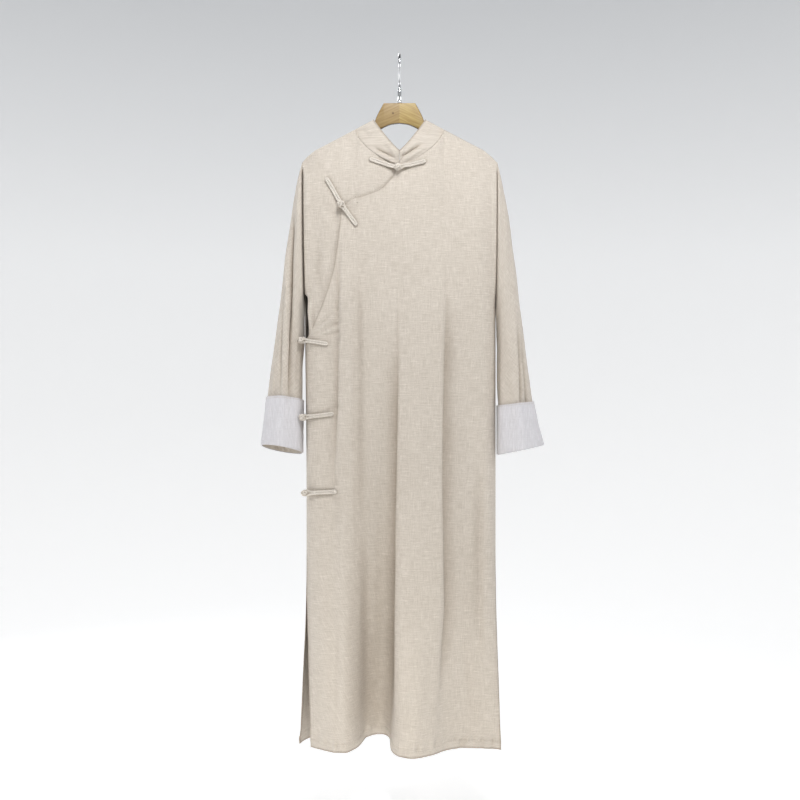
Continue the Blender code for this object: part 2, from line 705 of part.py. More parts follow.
def build_knot(number, line, normals, ball_at):
    """One knot button: line runs over the cloth from the button strap's far end to the loop strap's."""
    along = unit(np.gradient(line, axis=0))
    lateral = unit(np.cross(along, normals))
    strap = line[: ball_at + 1] + normals[: ball_at + 1] * (CORD_RADIUS + CORD_LIFT)
    axis = normals[ball_at]
    centre = line[ball_at]
    heights = [BALL_LIFT + row[0] for row in BALL_SHAPE]
    radii = [row[1] for row in BALL_SHAPE]
    path = np.concatenate([strap, [centre + axis * height for height in heights]])
    sides = np.concatenate([lateral[: ball_at + 1], [lateral[ball_at]] * len(heights)])
    wide = [CORD_PITCH / 2 + CORD_RADIUS] * (ball_at - 1) + STRAP_END_WIDE + radii
    tall = [CORD_RADIUS] * ball_at + [STRAP_END_TALL] + radii
    tube("button_" + number, path, sides, wide, tall, STRAP_SIDES, "beige_cloth")

    run = np.arange(len(line) - 1, ball_at + 1, -1)
    share = np.linspace(0.0, 1.0, len(run))[:, None]
    lift = CORD_RADIUS + CORD_LIFT + LOOP_LIFT * ease(share * 1.25 - 0.1)
    mid_run = line[run] + normals[run] * lift
    away = along[ball_at]
    beside = lateral[ball_at]
    hub = centre + axis * (CORD_RADIUS + CORD_LIFT + LOOP_LIFT)
    ring = []
    for angle in np.linspace(LOOP_START, LOOP_END, LOOP_STEPS):
        turn = math.radians(angle)
        ring.append(hub + LOOP_RADIUS * (away * math.cos(turn) + beside * math.sin(turn)))
    first = mid_run + lateral[run] * CORD_PITCH / 2
    second = (mid_run - lateral[run] * CORD_PITCH / 2)[::-1]
    path = np.concatenate([first, ring, second])
    upward = np.concatenate([normals[run], [axis] * len(ring), normals[run][::-1]])
    side = np.cross(unit(np.gradient(path, axis=0)), upward)
    radius = [CORD_RADIUS] * len(path)
    tube("loop_" + number, path, side, radius, radius, LOOP_SIDES, "beige_cloth")


def build_front_knots(panel):
    for number, ball, button_end, loop_end in FRONT_KNOTS:
        marks = []
        for start, end in ((button_end, ball), (ball, loop_end)):
            for step in range(KNOT_STEPS):
                share = step / KNOT_STEPS
                marks.append([a + (b - a) * share for a, b in zip(start, end)])
        marks.append(loop_end)
        line = []
        normals = []
        for x, z in marks:
            across, down = panel.find(x, z)
            down = max(down, KNOT_LEAST_DOWN)
            line.append(panel.points(across, down)[0])
            normals.append(panel.outward(across, down)[0])
        normals = unit(np.array(normals))
        build_knot(number, np.array(line) + normals * CLOTH / 2, normals, KNOT_STEPS)


def side_wrap(front, back, z):
    """The outer surface round the left side at a height: distance from the seam, points, normals."""
    down = 1.0 + (UNDERARM_Z - z) / (UNDERARM_Z - HEM_Z)
    places = np.linspace(0.0, SIDE_WRAP_REACH, 61)
    points = np.concatenate([front.points(places[::-1], down), back.points(places, down)])
    normals = np.concatenate([front.outward(places[::-1], down), back.outward(places, down)])
    points = points + normals * CLOTH / 2
    length = np.concatenate([[0.0], np.cumsum(np.linalg.norm(np.diff(points, axis=0), axis=1))])
    return length - length[len(places) - 1], points, normals


def build_side_knots(front, back):
    for number, ball_z, ball_place, loop_place, loop_z in SIDE_KNOTS:
        marks = [(SIDE_STRAP_BACK_END, ball_z), (ball_place, ball_z), (loop_place, loop_z)]
        line = []
        normals = []
        for (place_a, z_a), (place_b, z_b) in zip(marks[:-1], marks[1:]):
            last = marks[-1] == (place_b, z_b)
            for step in range(KNOT_STEPS + last):
                share = step / KNOT_STEPS
                place = place_a + (place_b - place_a) * share
                length, points, outs = side_wrap(front, back, z_a + (z_b - z_a) * share)
                line.append([np.interp(place, length, points[:, k]) for k in range(3)])
                normals.append([np.interp(place, length, outs[:, k]) for k in range(3)])
        build_knot(number, np.array(line), unit(np.array(normals)), KNOT_STEPS)


def build_hanger():
    for name, side in (("hanger_half_left", -1), ("hanger_half_right", 1)):
        sections = []
        for away, top, bottom in HANGER_OUTLINE:
            x = side * max(away, HANGER_GLUE_GAP / 2)
            section = []
            round_by = min(HANGER_HALF_DEPTH, (top - bottom) / 2 - 0.5)
            if away <= HANGER_BLOCK_HALF:
                round_by = HANGER_BLOCK_ROUND
            for start, centre_z in ((0, top - round_by), (180, bottom + round_by)):
                for step in range(HANGER_EDGE_STEPS + 1):
                    turn = math.radians(start + 180 * step / HANGER_EDGE_STEPS)
                    flat = HANGER_HALF_DEPTH - round_by
                    y = round_by * math.cos(turn)
                    y += flat if y > 0 else -flat
                    section.append((x, y, centre_z + round_by * math.sin(turn)))
            sections.append(section)
        points = np.array(sections)
        rings, around = points.shape[:2]
        flat_points = points.reshape(-1, 3)
        faces = []
        for ring in range(rings - 1):
            for k in range(around):
                a = ring * around + k
                b = ring * around + (k + 1) % around
                faces += [(a, b, b + around), (a, b + around, a + around)]
        last = (rings - 1) * around
        faces += [(0, k + 1, k) for k in range(1, around - 1)]
        faces += [(last, last + k, last + k + 1) for k in range(1, around - 1)]
        add_object(name, flat_points, outward_faces(flat_points, faces), "hanger_wood")


def build_hook():
    centre_z = -HOOK_INNER_RADIUS
    bend = HOOK_INNER_RADIUS + WIRE_RADIUS
    path = [(0, y, z) for y, z in HOOK_SHANK]
    for angle in np.arange(180, HOOK_TIP_ANGLE - 1, -HOOK_STEP_ANGLE):
        turn = math.radians(angle)
        path.append((0, bend * math.cos(turn), centre_z + bend * math.sin(turn)))
    tip = np.array(path[-1])
    end = unit(tip - np.array(path[-2]))
    radius = [WIRE_RADIUS] * len(path) + [row[1] for row in HOOK_TIP]
    path += [tuple(tip + end * row[0]) for row in HOOK_TIP]
    lateral = np.tile([1.0, 0.0, 0.0], (len(path), 1))
    tube("hook", path, lateral, radius, radius, WIRE_SIDES, "chrome")


def build_ferrule():
    path = [(0, 0, row[0]) for row in FERRULE_SHAPE]
    radii = [row[1] for row in FERRULE_SHAPE]
    lateral = np.tile([1.0, 0.0, 0.0], (len(path), 1))
    tube("ferrule", path, lateral, radii, radii, FERRULE_SIDES, "chrome")


def build_all():
    for old in list(bpy.data.objects):
        bpy.data.objects.remove(old)
    front = Panel(FRONT_FOLDS, -1, NECK_FRONT_DROP, NECK_FRONT_DEPTH, NECK_FRONT_POWER)
    back = Panel(BACK_FOLDS, 1, NECK_BACK_DROP, NECK_BACK_DEPTH, NECK_BACK_POWER)
    build_front(front)
    build_under_front(front)
    build_back(back)
    build_sleeve("sleeve_left", LEFT_SLEEVE)
    build_sleeve("sleeve_right", RIGHT_SLEEVE)
    build_cuff("cuff_left", LEFT_SLEEVE)
    build_cuff("cuff_right", RIGHT_SLEEVE)
    build_collar()
    build_front_knots(front)
    build_side_knots(front, back)
    build_hanger()
    build_hook()
    build_ferrule()


build_all()
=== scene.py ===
"""A long side-closing gown with five knot buttons on a wooden hanger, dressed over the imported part.

Tables are in millimetres: +X to the viewer's right, +Y to the back, +Z up, with the origin where a rod
bears in the hook. The cloth lies on the same named surfaces as the part's solids, in a finer grid.
"""

import math

import bpy
import numpy as np
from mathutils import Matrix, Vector


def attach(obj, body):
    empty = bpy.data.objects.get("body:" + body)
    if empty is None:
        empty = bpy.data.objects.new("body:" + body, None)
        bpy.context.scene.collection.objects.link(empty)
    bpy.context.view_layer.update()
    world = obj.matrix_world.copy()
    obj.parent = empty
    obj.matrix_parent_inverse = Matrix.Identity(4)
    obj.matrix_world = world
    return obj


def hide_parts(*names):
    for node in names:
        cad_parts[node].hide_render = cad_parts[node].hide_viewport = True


bl_info = {
    "name": "Long gown on a hanger",
    "version": (1, 0, 0),
    "blender": (4, 5, 0),
    "location": "3D View > Sidebar > Gown",
    "description": "Builds a long side-closing gown with knot buttons on a wooden hanger",
    "category": "Object",
}

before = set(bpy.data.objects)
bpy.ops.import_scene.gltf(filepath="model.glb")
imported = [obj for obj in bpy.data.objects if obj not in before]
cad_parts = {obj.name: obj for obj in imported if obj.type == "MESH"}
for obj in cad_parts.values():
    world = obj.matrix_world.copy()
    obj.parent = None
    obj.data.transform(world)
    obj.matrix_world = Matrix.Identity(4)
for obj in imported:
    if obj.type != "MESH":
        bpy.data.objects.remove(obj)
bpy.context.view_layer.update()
BODY = "root"
MM = 0.001

# Cloth walls and the gaps between pieces
CLOTH = 1.6
SEAM_GAP = 0.3
LAYER_GAP = 1.5
SHOULDER_SEAM_HALF = 0.8

# Heights
SHOULDER_END_Z = -228.0
UNDERARM_Z = -548.0
WAIST_Z = -950.0
SLIT_TOP_Z = -1090.0
HEM_Z = -1482.0
UNDER_FRONT_HEM_Z = -1060.0

# Armhole and shoulder
ARMHOLE_DEPTH = 28.0
ARMHOLE_BLEND = 45.0
SHOULDER_ROUND = 8.5
SHOULDER_TURN = 25.0
YOKE_FALL = 90.0
SETTLE_START = 0.75
LEFT_SHOULDER_X = -208.0
RIGHT_SHOULDER_X = 209.0

# Neckline: an open U that droops behind the hanger as much as in front
NECK_HALF = 95.0
NECK_SIDE_Z = -157.5
NECK_FRONT_DROP = 79.0
NECK_BACK_DROP = 84.0
NECK_FRONT_DEPTH = 33.0
NECK_BACK_DEPTH = 48.0
NECK_FRONT_POWER = 1.56
NECK_BACK_POWER = 2.0
NECK_FLATNESS = 7.0

# Shoulder line of both sides, from the collar's top edge outwards
# distance from the middle, height
SHOULDER_LINE = [
    (55, -136.5),
    (68, -141.5),
    (83, -150),
    (NECK_HALF, NECK_SIDE_Z),
    (113, -167),
    (145, -184),
    (180, -202),
    (199, -217.5),
    (208.5, SHOULDER_END_Z),
]

# Front, from the left side seam to the right one: crests stand out to -Y, valleys go back
# place, armhole y, underarm x, underarm y, waist x, waist y, hem x, hem y
FRONT_FOLDS = [
    ("left edge", -28, -203, -0.3, -199, -0.3, -190, -8),
    ("left side", -33, -196, -24, -193, -20, -181, -16),
    ("left bulge", -40, -174, -41, -169, -34, -156, -37),
    ("left crease", -45, -128, -47, -139, -34, -138, -49),
    ("first crest", -47, -105, -53, -119, -44, -117, -52),
    ("first fall", -48, -80, -51, -90, -33, -89, -8),
    ("valley near side", -48, -56, -50, -65, -19, -71, 70),
    ("valley", -49, -32, -49, -33, -16, -43, 93),
    ("valley far side", -49, -14, -50, -13, -22, -22, 62),
    ("second rise", -49, -3, -52, -5, -38, -18, -30),
    ("second crest near side", -49, 18, -54, 10, -50, 1, -80),
    ("second crest", -49, 53, -54, 47, -54, 28, -94),
    ("second crest far side", -48, 85, -53, 88, -47, 64, -72),
    ("second fall", -47, 107, -51, 101, -35, 101, -32),
    ("second valley", -45, 139, -47, 139, -25, 138, -15),
    ("right bulge", -41, 178, -41, 182, -25, 180, -19),
    ("right side", -33, 199, -24, 200, -14, 208, -25),
    ("right edge", -28, 206, -0.3, 206, -0.3, 216, -29),
]

# Back, from the same left seam to the right one: crests stand out to +Y
# place, armhole y, underarm x, underarm y, waist x, waist y, hem x, hem y
BACK_FOLDS = [
    ("left edge", 28, -203, 0.3, -199.3, 0.3, -215, 15.5),
    ("left side", 33, -196, 24, -195, 22, -207, 46),
    ("left bulge", 39, -174, 39, -173, 37, -184, 80),
    ("first crest", 45, -132, 46, -136, 50, -150, 120),
    ("first fall", 47, -97, 47, -100, 40, -113, 112),
    ("first valley", 48, -62, 46, -66, 24, -80, 102),
    ("second rise", 48, -28, 47, -30, 38, -44, 126),
    ("second crest", 48, 4, 48, 2, 55, -6, 142),
    ("second crest far side", 48, 38, 48, 36, 52, 28, 132),
    ("second fall", 47, 72, 47, 72, 34, 64, 98),
    ("second valley", 46, 106, 46, 106, 26, 99, 82),
    ("third rise", 44, 140, 43, 138, 40, 134, 104),
    ("third crest", 39, 176, 38, 176, 44, 172, 96),
    ("right side", 33, 199, 24, 199, 22, 201, 50),
    ("right edge", 28, 206, 0.3, 206, 0.3, 208, 10),
]

# Overlap line: where the front panel's free edge runs on each row
# row, x of the edge; below the last row the edge is the side seam
OVERLAP_UPPER = [
    (0.0, -3.2),
    (0.09, -13),
    (0.183, -33),
    (0.223, -43.4),
    (0.302, -71),
    (0.346, -85),
    (0.37, -91),
    (0.393, -97),
    (0.401, -111),
    (0.425, -123),
    (0.59, -130),
    (0.745, -138),
    (0.87, -151),
    (1.0, -168),
]
OVERLAP_LOWER = [(UNDERARM_Z, -168), (-580, -183), (-594, -189.5), (-607, -197), (-621, -203)]

# Under front: how far it goes in beneath the overlap, and its loose edge at the side opening
# height, x
UNDER_FRONT_INNER = [(NECK_SIDE_Z, 16), (UNDERARM_Z, -56)]
SIDE_OPENING = [(-508, 0.0), (-516, 7.5), (-532, 11.0), (-560, 10.5), (-590, 8.0), (-610, 4.5), (-621, 0.0)]
LAYER_RAMP = 30.0

# Sleeves hang as tubes, ring by ring from the armhole to the cuff's fold
# ring, outer x, outer z, inner x, inner z, middle y, half depth, back edge lower by
LEFT_SLEEVE = [
    ("armhole", -208.5, -228, -204.4, -548, 0, 28, 0),
    ("cap", -215.5, -254, -205.6, -562, 0, 31, 0),
    ("upper arm", -224.5, -296, -206.5, -578, 3, 34, 0),
    ("above elbow", -235, -360, -208, -600, 7, 38, 2),
    ("elbow", -246, -438, -209.5, -628, 11, 41, 5),
    ("below elbow", -256, -523, -210, -658, 13, 43, 9),
    ("forearm", -268, -609, -210, -694, 12, 45, 13),
    ("above cuff", -277, -680, -210, -722, 9, 47, 16),
    ("cuff top", -284, -735, -210, -740, 7, 48, 18),
    ("in the cuff", -290, -785, -210, -794, 6, 49, 18),
    ("cuff fold", -296.5, -837, -209.5, -852, 6, 50, 18),
]
RIGHT_SLEEVE = [
    ("armhole", 209.5, -228, 207.4, -548, 0, 28, 0),
    ("cap", 216.5, -254, 208.6, -562, 0, 31, 0),
    ("upper arm", 225.5, -296, 210, -578, 3, 34, 0),
    ("above elbow", 236.5, -360, 210.5, -600, 6, 38, 1),
    ("elbow", 247, -438, 210.5, -628, 8, 42, 2),
    ("below elbow", 257, -523, 210.5, -658, 8, 44, 3),
    ("forearm", 268, -609, 210.5, -694, 6, 46, 3),
    ("above cuff", 278, -690, 211.5, -730, 3, 48, 3),
    ("cuff top", 285, -742, 212.5, -750, 0, 49, 3),
    ("in the cuff", 295, -788, 212, -802, -2, 50, 3),
    ("cuff fold", 308, -835, 211, -856, -3, 51, 3),
]
# Folds of a sleeve: place round the ring in degrees (0 outer, 90 front, 270 back), half width in
# degrees, depth at the cuff's top edge, ring where it starts
SLEEVE_FOLDS = [
    ("front long fold", 118, 20, 7.0, 3),
    ("front short fold", 62, 16, 4.0, 5),
    ("back long fold", 250, 22, 7.0, 3),
    ("back short fold", 300, 16, 4.5, 5),
]
# How sharply a sleeve's front and back, and its side towards the body, are told apart
FRONT_FOCUS = 1.6
BODY_FOCUS = 1.4
CUFF_GAP = 0.5
CUFF_FLARE = 1.5
CUFF_TOP_RING = 8
CUFF_CALM = 0.75

# Collar: a stand band, leaning in at the sides and back behind
COLLAR_TOP_HALF = 55.0
COLLAR_TOP_SIDE_Z = -136.5
COLLAR_TOP_FRONT_DROP = 73.0
COLLAR_TOP_BACK_DROP = 72.0
COLLAR_TOP_FRONT_Y = 41.0
COLLAR_TOP_BACK_Y = 80.0
COLLAR_TOP_FRONT_POWER = 1.12
COLLAR_TOP_BACK_POWER = 2.0
COLLAR_LEAN_POWER = 0.8
COLLAR_OPENING = 1.2
COLLAR_SEAM_GAP = 1.4
COLLAR_BACK_SEAM_GAP = 2.0

# Knot buttons of doubled cord
LOOP_RADIUS = 6.2
LOOP_LIFT = 4.7
LOOP_ARC = (42, 318)
# The ball's cord: turns round it, waves up and down, latitude that it reaches, swing in and out,
# radius as a share of the straps' cord
BALL_TURNS = 3
BALL_WAVES = 4
BALL_LATITUDE = 58
BALL_WEAVE = 0.75
BALL_CORD = 0.92
# The ball's core: half length, radius, where the radius would reach nought
CORE_HALF = 4.4
CORE_RADIUS = 4.6
CORE_END = 4.8
KNOT_LEAST_DOWN = 0.012

# Knots on the front: ball x, z, then the far end of the button's strap and of the loop's strap
FRONT_KNOTS = [
    ("1", (-4.0, -247.5), (-60.0, -229.0), (52.0, -233.0)),
    ("2", (-122.5, -325.0), (-153.5, -270.0), (-92.0, -367.0)),
]
# Knots down the left side: height of the ball, place of the ball and of the loop strap's far end
# round the side (before the seam is the front), height of that far end
SIDE_KNOTS = [
    ("3", -611.0, -22.0, -72.0, -619.5),
    ("4", -775.0, -22.0, -80.0, -768.0),
    ("5", -936.0, -24.0, -86.0, -932.5),
]
# The straps as seen from the front, for the painted shadow beside them: the ball's end and the far end, x and
# z
STRAP_LINES = [
    ((-4, -247.5), (-60, -229)),
    ((-4, -247.5), (52, -233)),
    ((-122.5, -325), (-153.5, -270)),
    ((-122.5, -325), (-92, -367)),
    ((-205, -611), (-158, -619.5)),
    ((-205, -775), (-152, -768)),
    ((-205, -936), (-147, -932.5)),
]
SIDE_STRAP_BACK_END = 34.0
SIDE_WRAP_REACH = 0.3

# Hanger: two glued halves of flat wood with rounded edges
HANGER_HALF_DEPTH = 5.2
HANGER_BLOCK_HALF = 33
HANGER_BLOCK_ROUND = 1.5
# distance from the middle, top height, bottom height
HANGER_OUTLINE = [
    (0, -101, -144),
    (16, -101, -146),
    (33, -101, -152.5),
    (38, -108, -155.5),
    (44, -118.5, -159),
    (50, -131, -163),
    (54, -141.5, -166),
    (61, -147, -172),
    (78, -157, -183),
    (88, -166.5, -191),
    (96, -171.3, -196),
    (113, -174.5, -204),
    (125, -179.4, -209),
    (155, -194.8, -223),
    (182, -210.4, -235),
    (195, -221.4, -241),
    (202, -231, -240),
]

# Hook and ferrule
WIRE_RADIUS = 3.0
HOOK_INNER_RADIUS = 18.0
HOOK_TIP_ANGLE = -35.0
# The shank from the ferrule up to the bend: y, z
HOOK_SHANK = [(0, -68), (0, -59), (-4, -50), (-13, -38), (-19.5, -27)]
# The wire's rounded tip: distance past the bend, radius
HOOK_TIP = [(0.7, 2.85), (1.5, 2.45), (2.2, 1.8), (2.7, 0.9)]
# The ferrule from its foot up: z, radius
FERRULE_SHAPE = [
    (-100.6, 4.2),
    (-100.2, 4.8),
    (-99.6, 5.0),
    (-96.6, 5.0),
    (-96.2, 4.7),
    (-95.6, 4.7),
    (-95.2, 5.0),
    (-84, 5.0),
    (-76, 5.0),
    (-74.6, 4.9),
    (-73.2, 4.4),
    (-72.0, 3.6),
    (-71.0, 3.35),
    (-68.4, 3.2),
]

# Seam lines of the front and the back, for the creases to die out at: depth, left x, right x
SEAM_LINES = [(228, -208, 209), (548, -203, 206), (950, -199, 206), (1090, -199, 206), (1482, -190, 216)]
SEAM_HOLD = 13.0
TOP_HOLD = 16.0
# The armhole seams as seen from the front: depth, left x, right x
ARMHOLE_SEAM = [(228, -208, 209.2), (548, -204, 206.7)]
# The grooves along them: column of the seam, depth, width
ARMHOLE_GROOVES = ((1, 16.0, 2.0), (2, 8.0, 1.6))
# How far the sleeves' threads run aslant, in radians
SLEEVE_GRAIN = -0.8
# How far the sleeves bulge towards the body below the underarm: depth, bulge
LEFT_MEETS = [(540, 0.0), (560, 0.9), (578, 1.6), (600, 3.3), (620, 3.8), (640, 2.2), (668, 0.0)]
RIGHT_MEETS = [(540, 0.0), (560, 0.7), (580, 1.2), (600, 1.4), (630, 0.0)]

# Creases as seen from the front: points x, z from the top down, height, reach to the left and to the
# right of the line, and 1 where the line is sharp. Ridges are above nought, troughs below
FRONT_CREASES = [
    ([(-119, -360), (-121, -464), (-125, -768), (-134, -916), (-139, -1010)], 6.3, 5, 24, 0),
    ([(-121, -340), (-127, -420), (-129, -520), (-132, -768), (-141, -960)], -5.8, 9, 2.4, 1),
    ([(-90, -350), (-84, -560), (-82, -840), (-78, -1120)], -5.2, 12, 12, 0),
    ([(-108, -350), (-104, -560), (-102, -860), (-98, -1200)], 2.6, 8, 8, 0),
    ([(-54, -380), (-50, -560), (-46, -800)], 2.4, 12, 12, 0),
    ([(-6, -440), (-5, -640), (-12, -990), (-15, -1250), (-17, -1560)], -8.0, 17, 3.2, 1),
    ([(2, -500), (3, -640), (-3, -990), (-6, -1250), (-8, -1478)], 4.5, 4.5, 24, 0),
    ([(100, -360), (98, -560), (94, -900), (98, -1180), (80, -1500)], -7.5, 3.2, 22, 1),
    ([(91, -420), (89, -560), (86, -900), (90, -1180), (72, -1420)], 3.6, 22, 5, 0),
    ([(184, -860), (182, -980), (181, -1150), (186, -1330)], 6.0, 7, 20, 0),
    ([(172, -780), (168, -980), (166, -1180), (168, -1360)], -3.9, 20, 9, 0),
    ([(-176, -330), (-173, -430), (-170, -540)], -3.6, 13, 11, 0),
    ([(-152, -270), (-150, -340), (-148, -420)], 2.1, 12, 12, 0),
    ([(4, -430), (6, -540), (4, -620)], -2.7, 14, 16, 0),
    ([(48, -560), (44, -800), (40, -1100)], 2.1, 18, 16, 0),
    ([(60, -1180), (64, -1320), (56, -1440)], -2.4, 12, 14, 0),
    ([(140, -700), (134, -900), (136, -1150)], 2.2, 14, 14, 0),
    ([(138, -1240), (144, -1360), (146, -1470)], -2.4, 12, 12, 0),
    ([(-50, -880), (-54, -1100), (-52, -1330)], 2.5, 10, 10, 0),
    ([(-128, -1180), (-136, -1320), (-134, -1470)], -2.7, 12, 10, 0),
    ([(-158, -1010), (-162, -1200), (-160, -1400)], 1.8, 14, 12, 0),
    # Drawn from the third knot up towards the chest
    ([(-138, -552), (-156, -568), (-186, -596)], -3.0, 3, 3, 0),
    ([(-120, -572), (-144, -582), (-180, -602)], -3.0, 3, 3, 0),
    ([(-116, -594), (-146, -598), (-178, -607)], -2.6, 3, 3, 0),
    ([(-112, -582), (-146, -591), (-178, -605)], 2.4, 3, 3, 0),
    ([(-130, -560), (-156, -574), (-184, -598)], 2.4, 3, 3, 0),
    ([(-184, -512), (-184, -560), (-182, -612)], -3.0, 2.4, 3.4, 0),
    ([(-191, -520), (-191, -560), (-189, -606)], 2.4, 3, 3, 0),
    ([(-136, -664), (-158, -642), (-184, -624)], -2.1, 5, 6, 0),
    # Drawn from the fourth and fifth knots
    ([(-112, -742), (-140, -756), (-176, -766)], -1.7, 6, 6, 0),
    ([(-116, -958), (-146, -948), (-176, -940)], -1.7, 6, 6, 0),
    # From the closing at the neck
    ([(56, -216), (30, -234), (8, -243)], -2.1, 3, 4, 1),
    ([(70, -222), (44, -246), (16, -252)], -1.8, 5, 6, 0),
    ([(-34, -300), (-16, -276), (-6, -258)], -1.5, 6, 6, 0),
    # Pulled at the second knot
    ([(-112, -262), (-114, -290), (-119, -318)], -2.1, 4, 5, 1),
    ([(-142, -246), (-136, -280), (-128, -312)], 1.8, 5, 5, 0),
    # The fold beside the right sleeve
    ([(200, -246), (199, -330), (200, -450), (202, -560)], -1.8, 9, 3, 1),
    # At the left armhole
    ([(-196, -240), (-198, -300), (-197, -420)], 2.4, 4, 7, 0),
]
BACK_CREASES = [
    ([(-124, -420), (-130, -600), (-134, -880), (-142, -1080)], 6.0, 20, 5, 0),
    ([(-116, -430), (-122, -600), (-126, -880), (-132, -1040)], -3.1, 4, 14, 1),
    ([(-70, -460), (-74, -700), (-86, -1000), (-98, -1300)], -4.8, 18, 6, 1),
    ([(8, -520), (6, -760), (0, -1060), (-4, -1400)], 4.8, 22, 16, 0),
    ([(44, -560), (42, -760), (36, -1080), (30, -1440)], -3.4, 5, 18, 1),
    ([(108, -440), (106, -640), (102, -900), (98, -1280)], -5.3, 20, 6, 1),
    ([(118, -470), (116, -700), (112, -960), (110, -1250)], 3.9, 6, 20, 0),
    ([(178, -700), (176, -900), (178, -1120)], 3.3, 12, 14, 0),
    ([(-176, -660), (-178, -860), (-184, -1080)], 3.0, 14, 10, 0),
    ([(-30, -400), (-26, -520), (-28, -640)], -2.4, 16, 14, 0),
    ([(60, -300), (66, -400), (64, -520)], 2.0, 16, 16, 0),
    ([(-60, -1180), (-66, -1320), (-70, -1460)], 2.7, 12, 12, 0),
    ([(70, -1160), (76, -1310), (74, -1460)], -2.4, 12, 14, 0),
    ([(150, -1200), (156, -1340), (158, -1470)], -2.7, 12, 12, 0),
    ([(-160, -240), (-130, -262), (-90, -272)], -1.8, 8, 10, 0),
    ([(162, -244), (130, -268), (92, -276)], -1.8, 10, 8, 0),
    ([(-196, -240), (-198, -320), (-196, -430)], -2.0, 4, 8, 1),
    ([(198, -244), (198, -330), (200, -450)], 2.1, 8, 4, 0),
    ([(-140, -620), (-164, -640), (-190, -628)], -1.7, 6, 6, 0),
]
LEFT_SLEEVE_FRONT = [
    ([(-228, -262), (-234, -425), (-232, -620), (-235, -790)], -15.0, 2.0, 4.6, 1),
    ([(-236, -300), (-241, -425), (-239, -620), (-241, -780)], 4.3, 7, 3, 0),
    ([(-246, -440), (-253, -610), (-255, -780)], -5.1, 3.4, 3.4, 1),
    ([(-243, -520), (-247, -640), (-249, -780)], 2.9, 3, 3, 0),
    ([(-260, -560), (-264, -660), (-267, -780)], -2.9, 3.4, 4, 1),
    ([(-216, -246), (-217, -330), (-219, -450)], 2.2, 4, 5, 0),
    ([(-214, -600), (-218, -670), (-219, -735)], -1.9, 4, 5, 0),
    ([(-262, -640), (-266, -690), (-268, -735)], 1.9, 4, 5, 0),
]
LEFT_SLEEVE_BACK = [
    ([(-228, -740), (-232, -800), (-234, -870)], -4.0, 3, 3, 0),
    ([(-246, -740), (-250, -800), (-253, -870)], -6.0, 3, 3, 0),
    ([(-268, -740), (-272, -800), (-276, -870)], -5.0, 3, 3, 0),
    ([(-222, -320), (-226, -450), (-228, -600), (-232, -742)], -4.0, 8, 4, 1),
    ([(-246, -420), (-252, -560), (-258, -730)], 2.4, 7, 7, 0),
    ([(-214, -520), (-216, -640), (-222, -735)], 1.6, 5, 6, 0),
]
RIGHT_SLEEVE_FRONT = [
    ([(221, -270), (219, -330), (220, -400)], -1.9, 6, 5, 0),
    ([(211, -240), (206, -300), (207, -480), (209, -600)], 2.2, 3, 6, 0),
    ([(250, -540), (256, -660), (258, -800)], -9.0, 2.0, 4.4, 1),
    ([(262, -560), (267, -670), (272, -800)], -8.0, 2.0, 4, 1),
    ([(243, -600), (246, -680), (248, -800)], -2.5, 3, 4, 1),
    ([(246, -520), (249, -640), (250, -748)], 2.6, 5, 4, 0),
    ([(232, -380), (236, -520), (238, -660)], -1.8, 9, 8, 0),
    ([(257, -640), (262, -700), (265, -748)], 2.4, 3, 3, 0),
]
RIGHT_SLEEVE_BACK = [
    ([(240, -740), (244, -800), (247, -860)], -5.0, 3, 3, 0),
    ([(262, -740), (268, -800), (274, -860)], -4.0, 3, 3, 0),
    ([(222, -320), (226, -470), (230, -620), (234, -748)], -4.0, 4, 8, 1),
    ([(246, -420), (254, -560), (262, -740)], 2.4, 7, 7, 0),
    ([(214, -540), (216, -660), (222, -740)], -1.6, 5, 5, 0),
]
COLLAR_CREASES = [
    ([(-56, -200), (-44, -208), (-26, -217), (-6, -228)], -5.6, 3.4, 3.4, 0),
    ([(-54, -212), (-40, -220), (-22, -229), (-6, -236)], 3.0, 4, 4, 0),
    ([(-30, -190), (-20, -203), (-8, -219)], 2.4, 4, 4, 0),
    ([(54, -192), (45, -197), (28, -208), (8, -221), (3, -236)], -5.6, 3.2, 3.2, 0),
    ([(62, -198), (50, -205), (30, -217), (10, -232)], 3.4, 4, 4, 0),
    ([(40, -188), (24, -202), (6, -216)], 2.4, 4, 4, 0),
    ([(-82, -158), (-72, -170), (-60, -182)], -2.4, 4, 5, 0),
    ([(72, -150), (66, -166), (60, -182)], -1.8, 5, 5, 0),
]

# Unevenness of hand-ironed cloth: height, wave length, how much longer the waves are downwards
RUMPLE = 0.55
RUMPLE_WAVE = 52.0
RUMPLE_STRETCH = 2.6
SMALL_RUMPLE = 0.16
SMALL_WAVE = 15.0

# Columns of the cloth grids, rows above the underarm and the height of a row below it
FRONT_COLUMNS = 156
BACK_COLUMNS = 140
UNDER_COLUMNS = 72
UPPER_ROWS = 76
ROW_HEIGHT = 5.2
TUBE_RINGS = 140
TUBE_SIDES = 168
# Where the sharpest creases run, for finer columns: x below the waist
FRONT_SHARP_X = (-132, -10, 96)
BACK_SHARP_X = (-132, -86, 36, 102)
CUFF_RINGS = 42
CUFF_SIDES = 112
COLLAR_COLUMNS = 240
COLLAR_ROWS = 30
KNOT_STEPS = 18

# The turned-up hem: depth and width of its stitches' dent, rise of the double cloth, wave length of
# the puckers and how far up they reach, their height as a share of the set one
HEM_DENT = 0.9
HEM_DENT_WIDTH = 2.0
HEM_RISE = 0.45
PUCKER_WAVE = 13.0
PUCKER_REACH = 13
PUCKER_SHARE = 2.2
# Stitch lines in from the slit edges and, as a share of the cuff's height, from its top edge
SLIT_TURN = 12.0
CUFF_TURN = 5.0 / 105
# Angles in degrees between faces from which an edge is sharp
CLOTH_SHARP = 55
CORD_SHARP = 60
WOOD_SHARP = 35
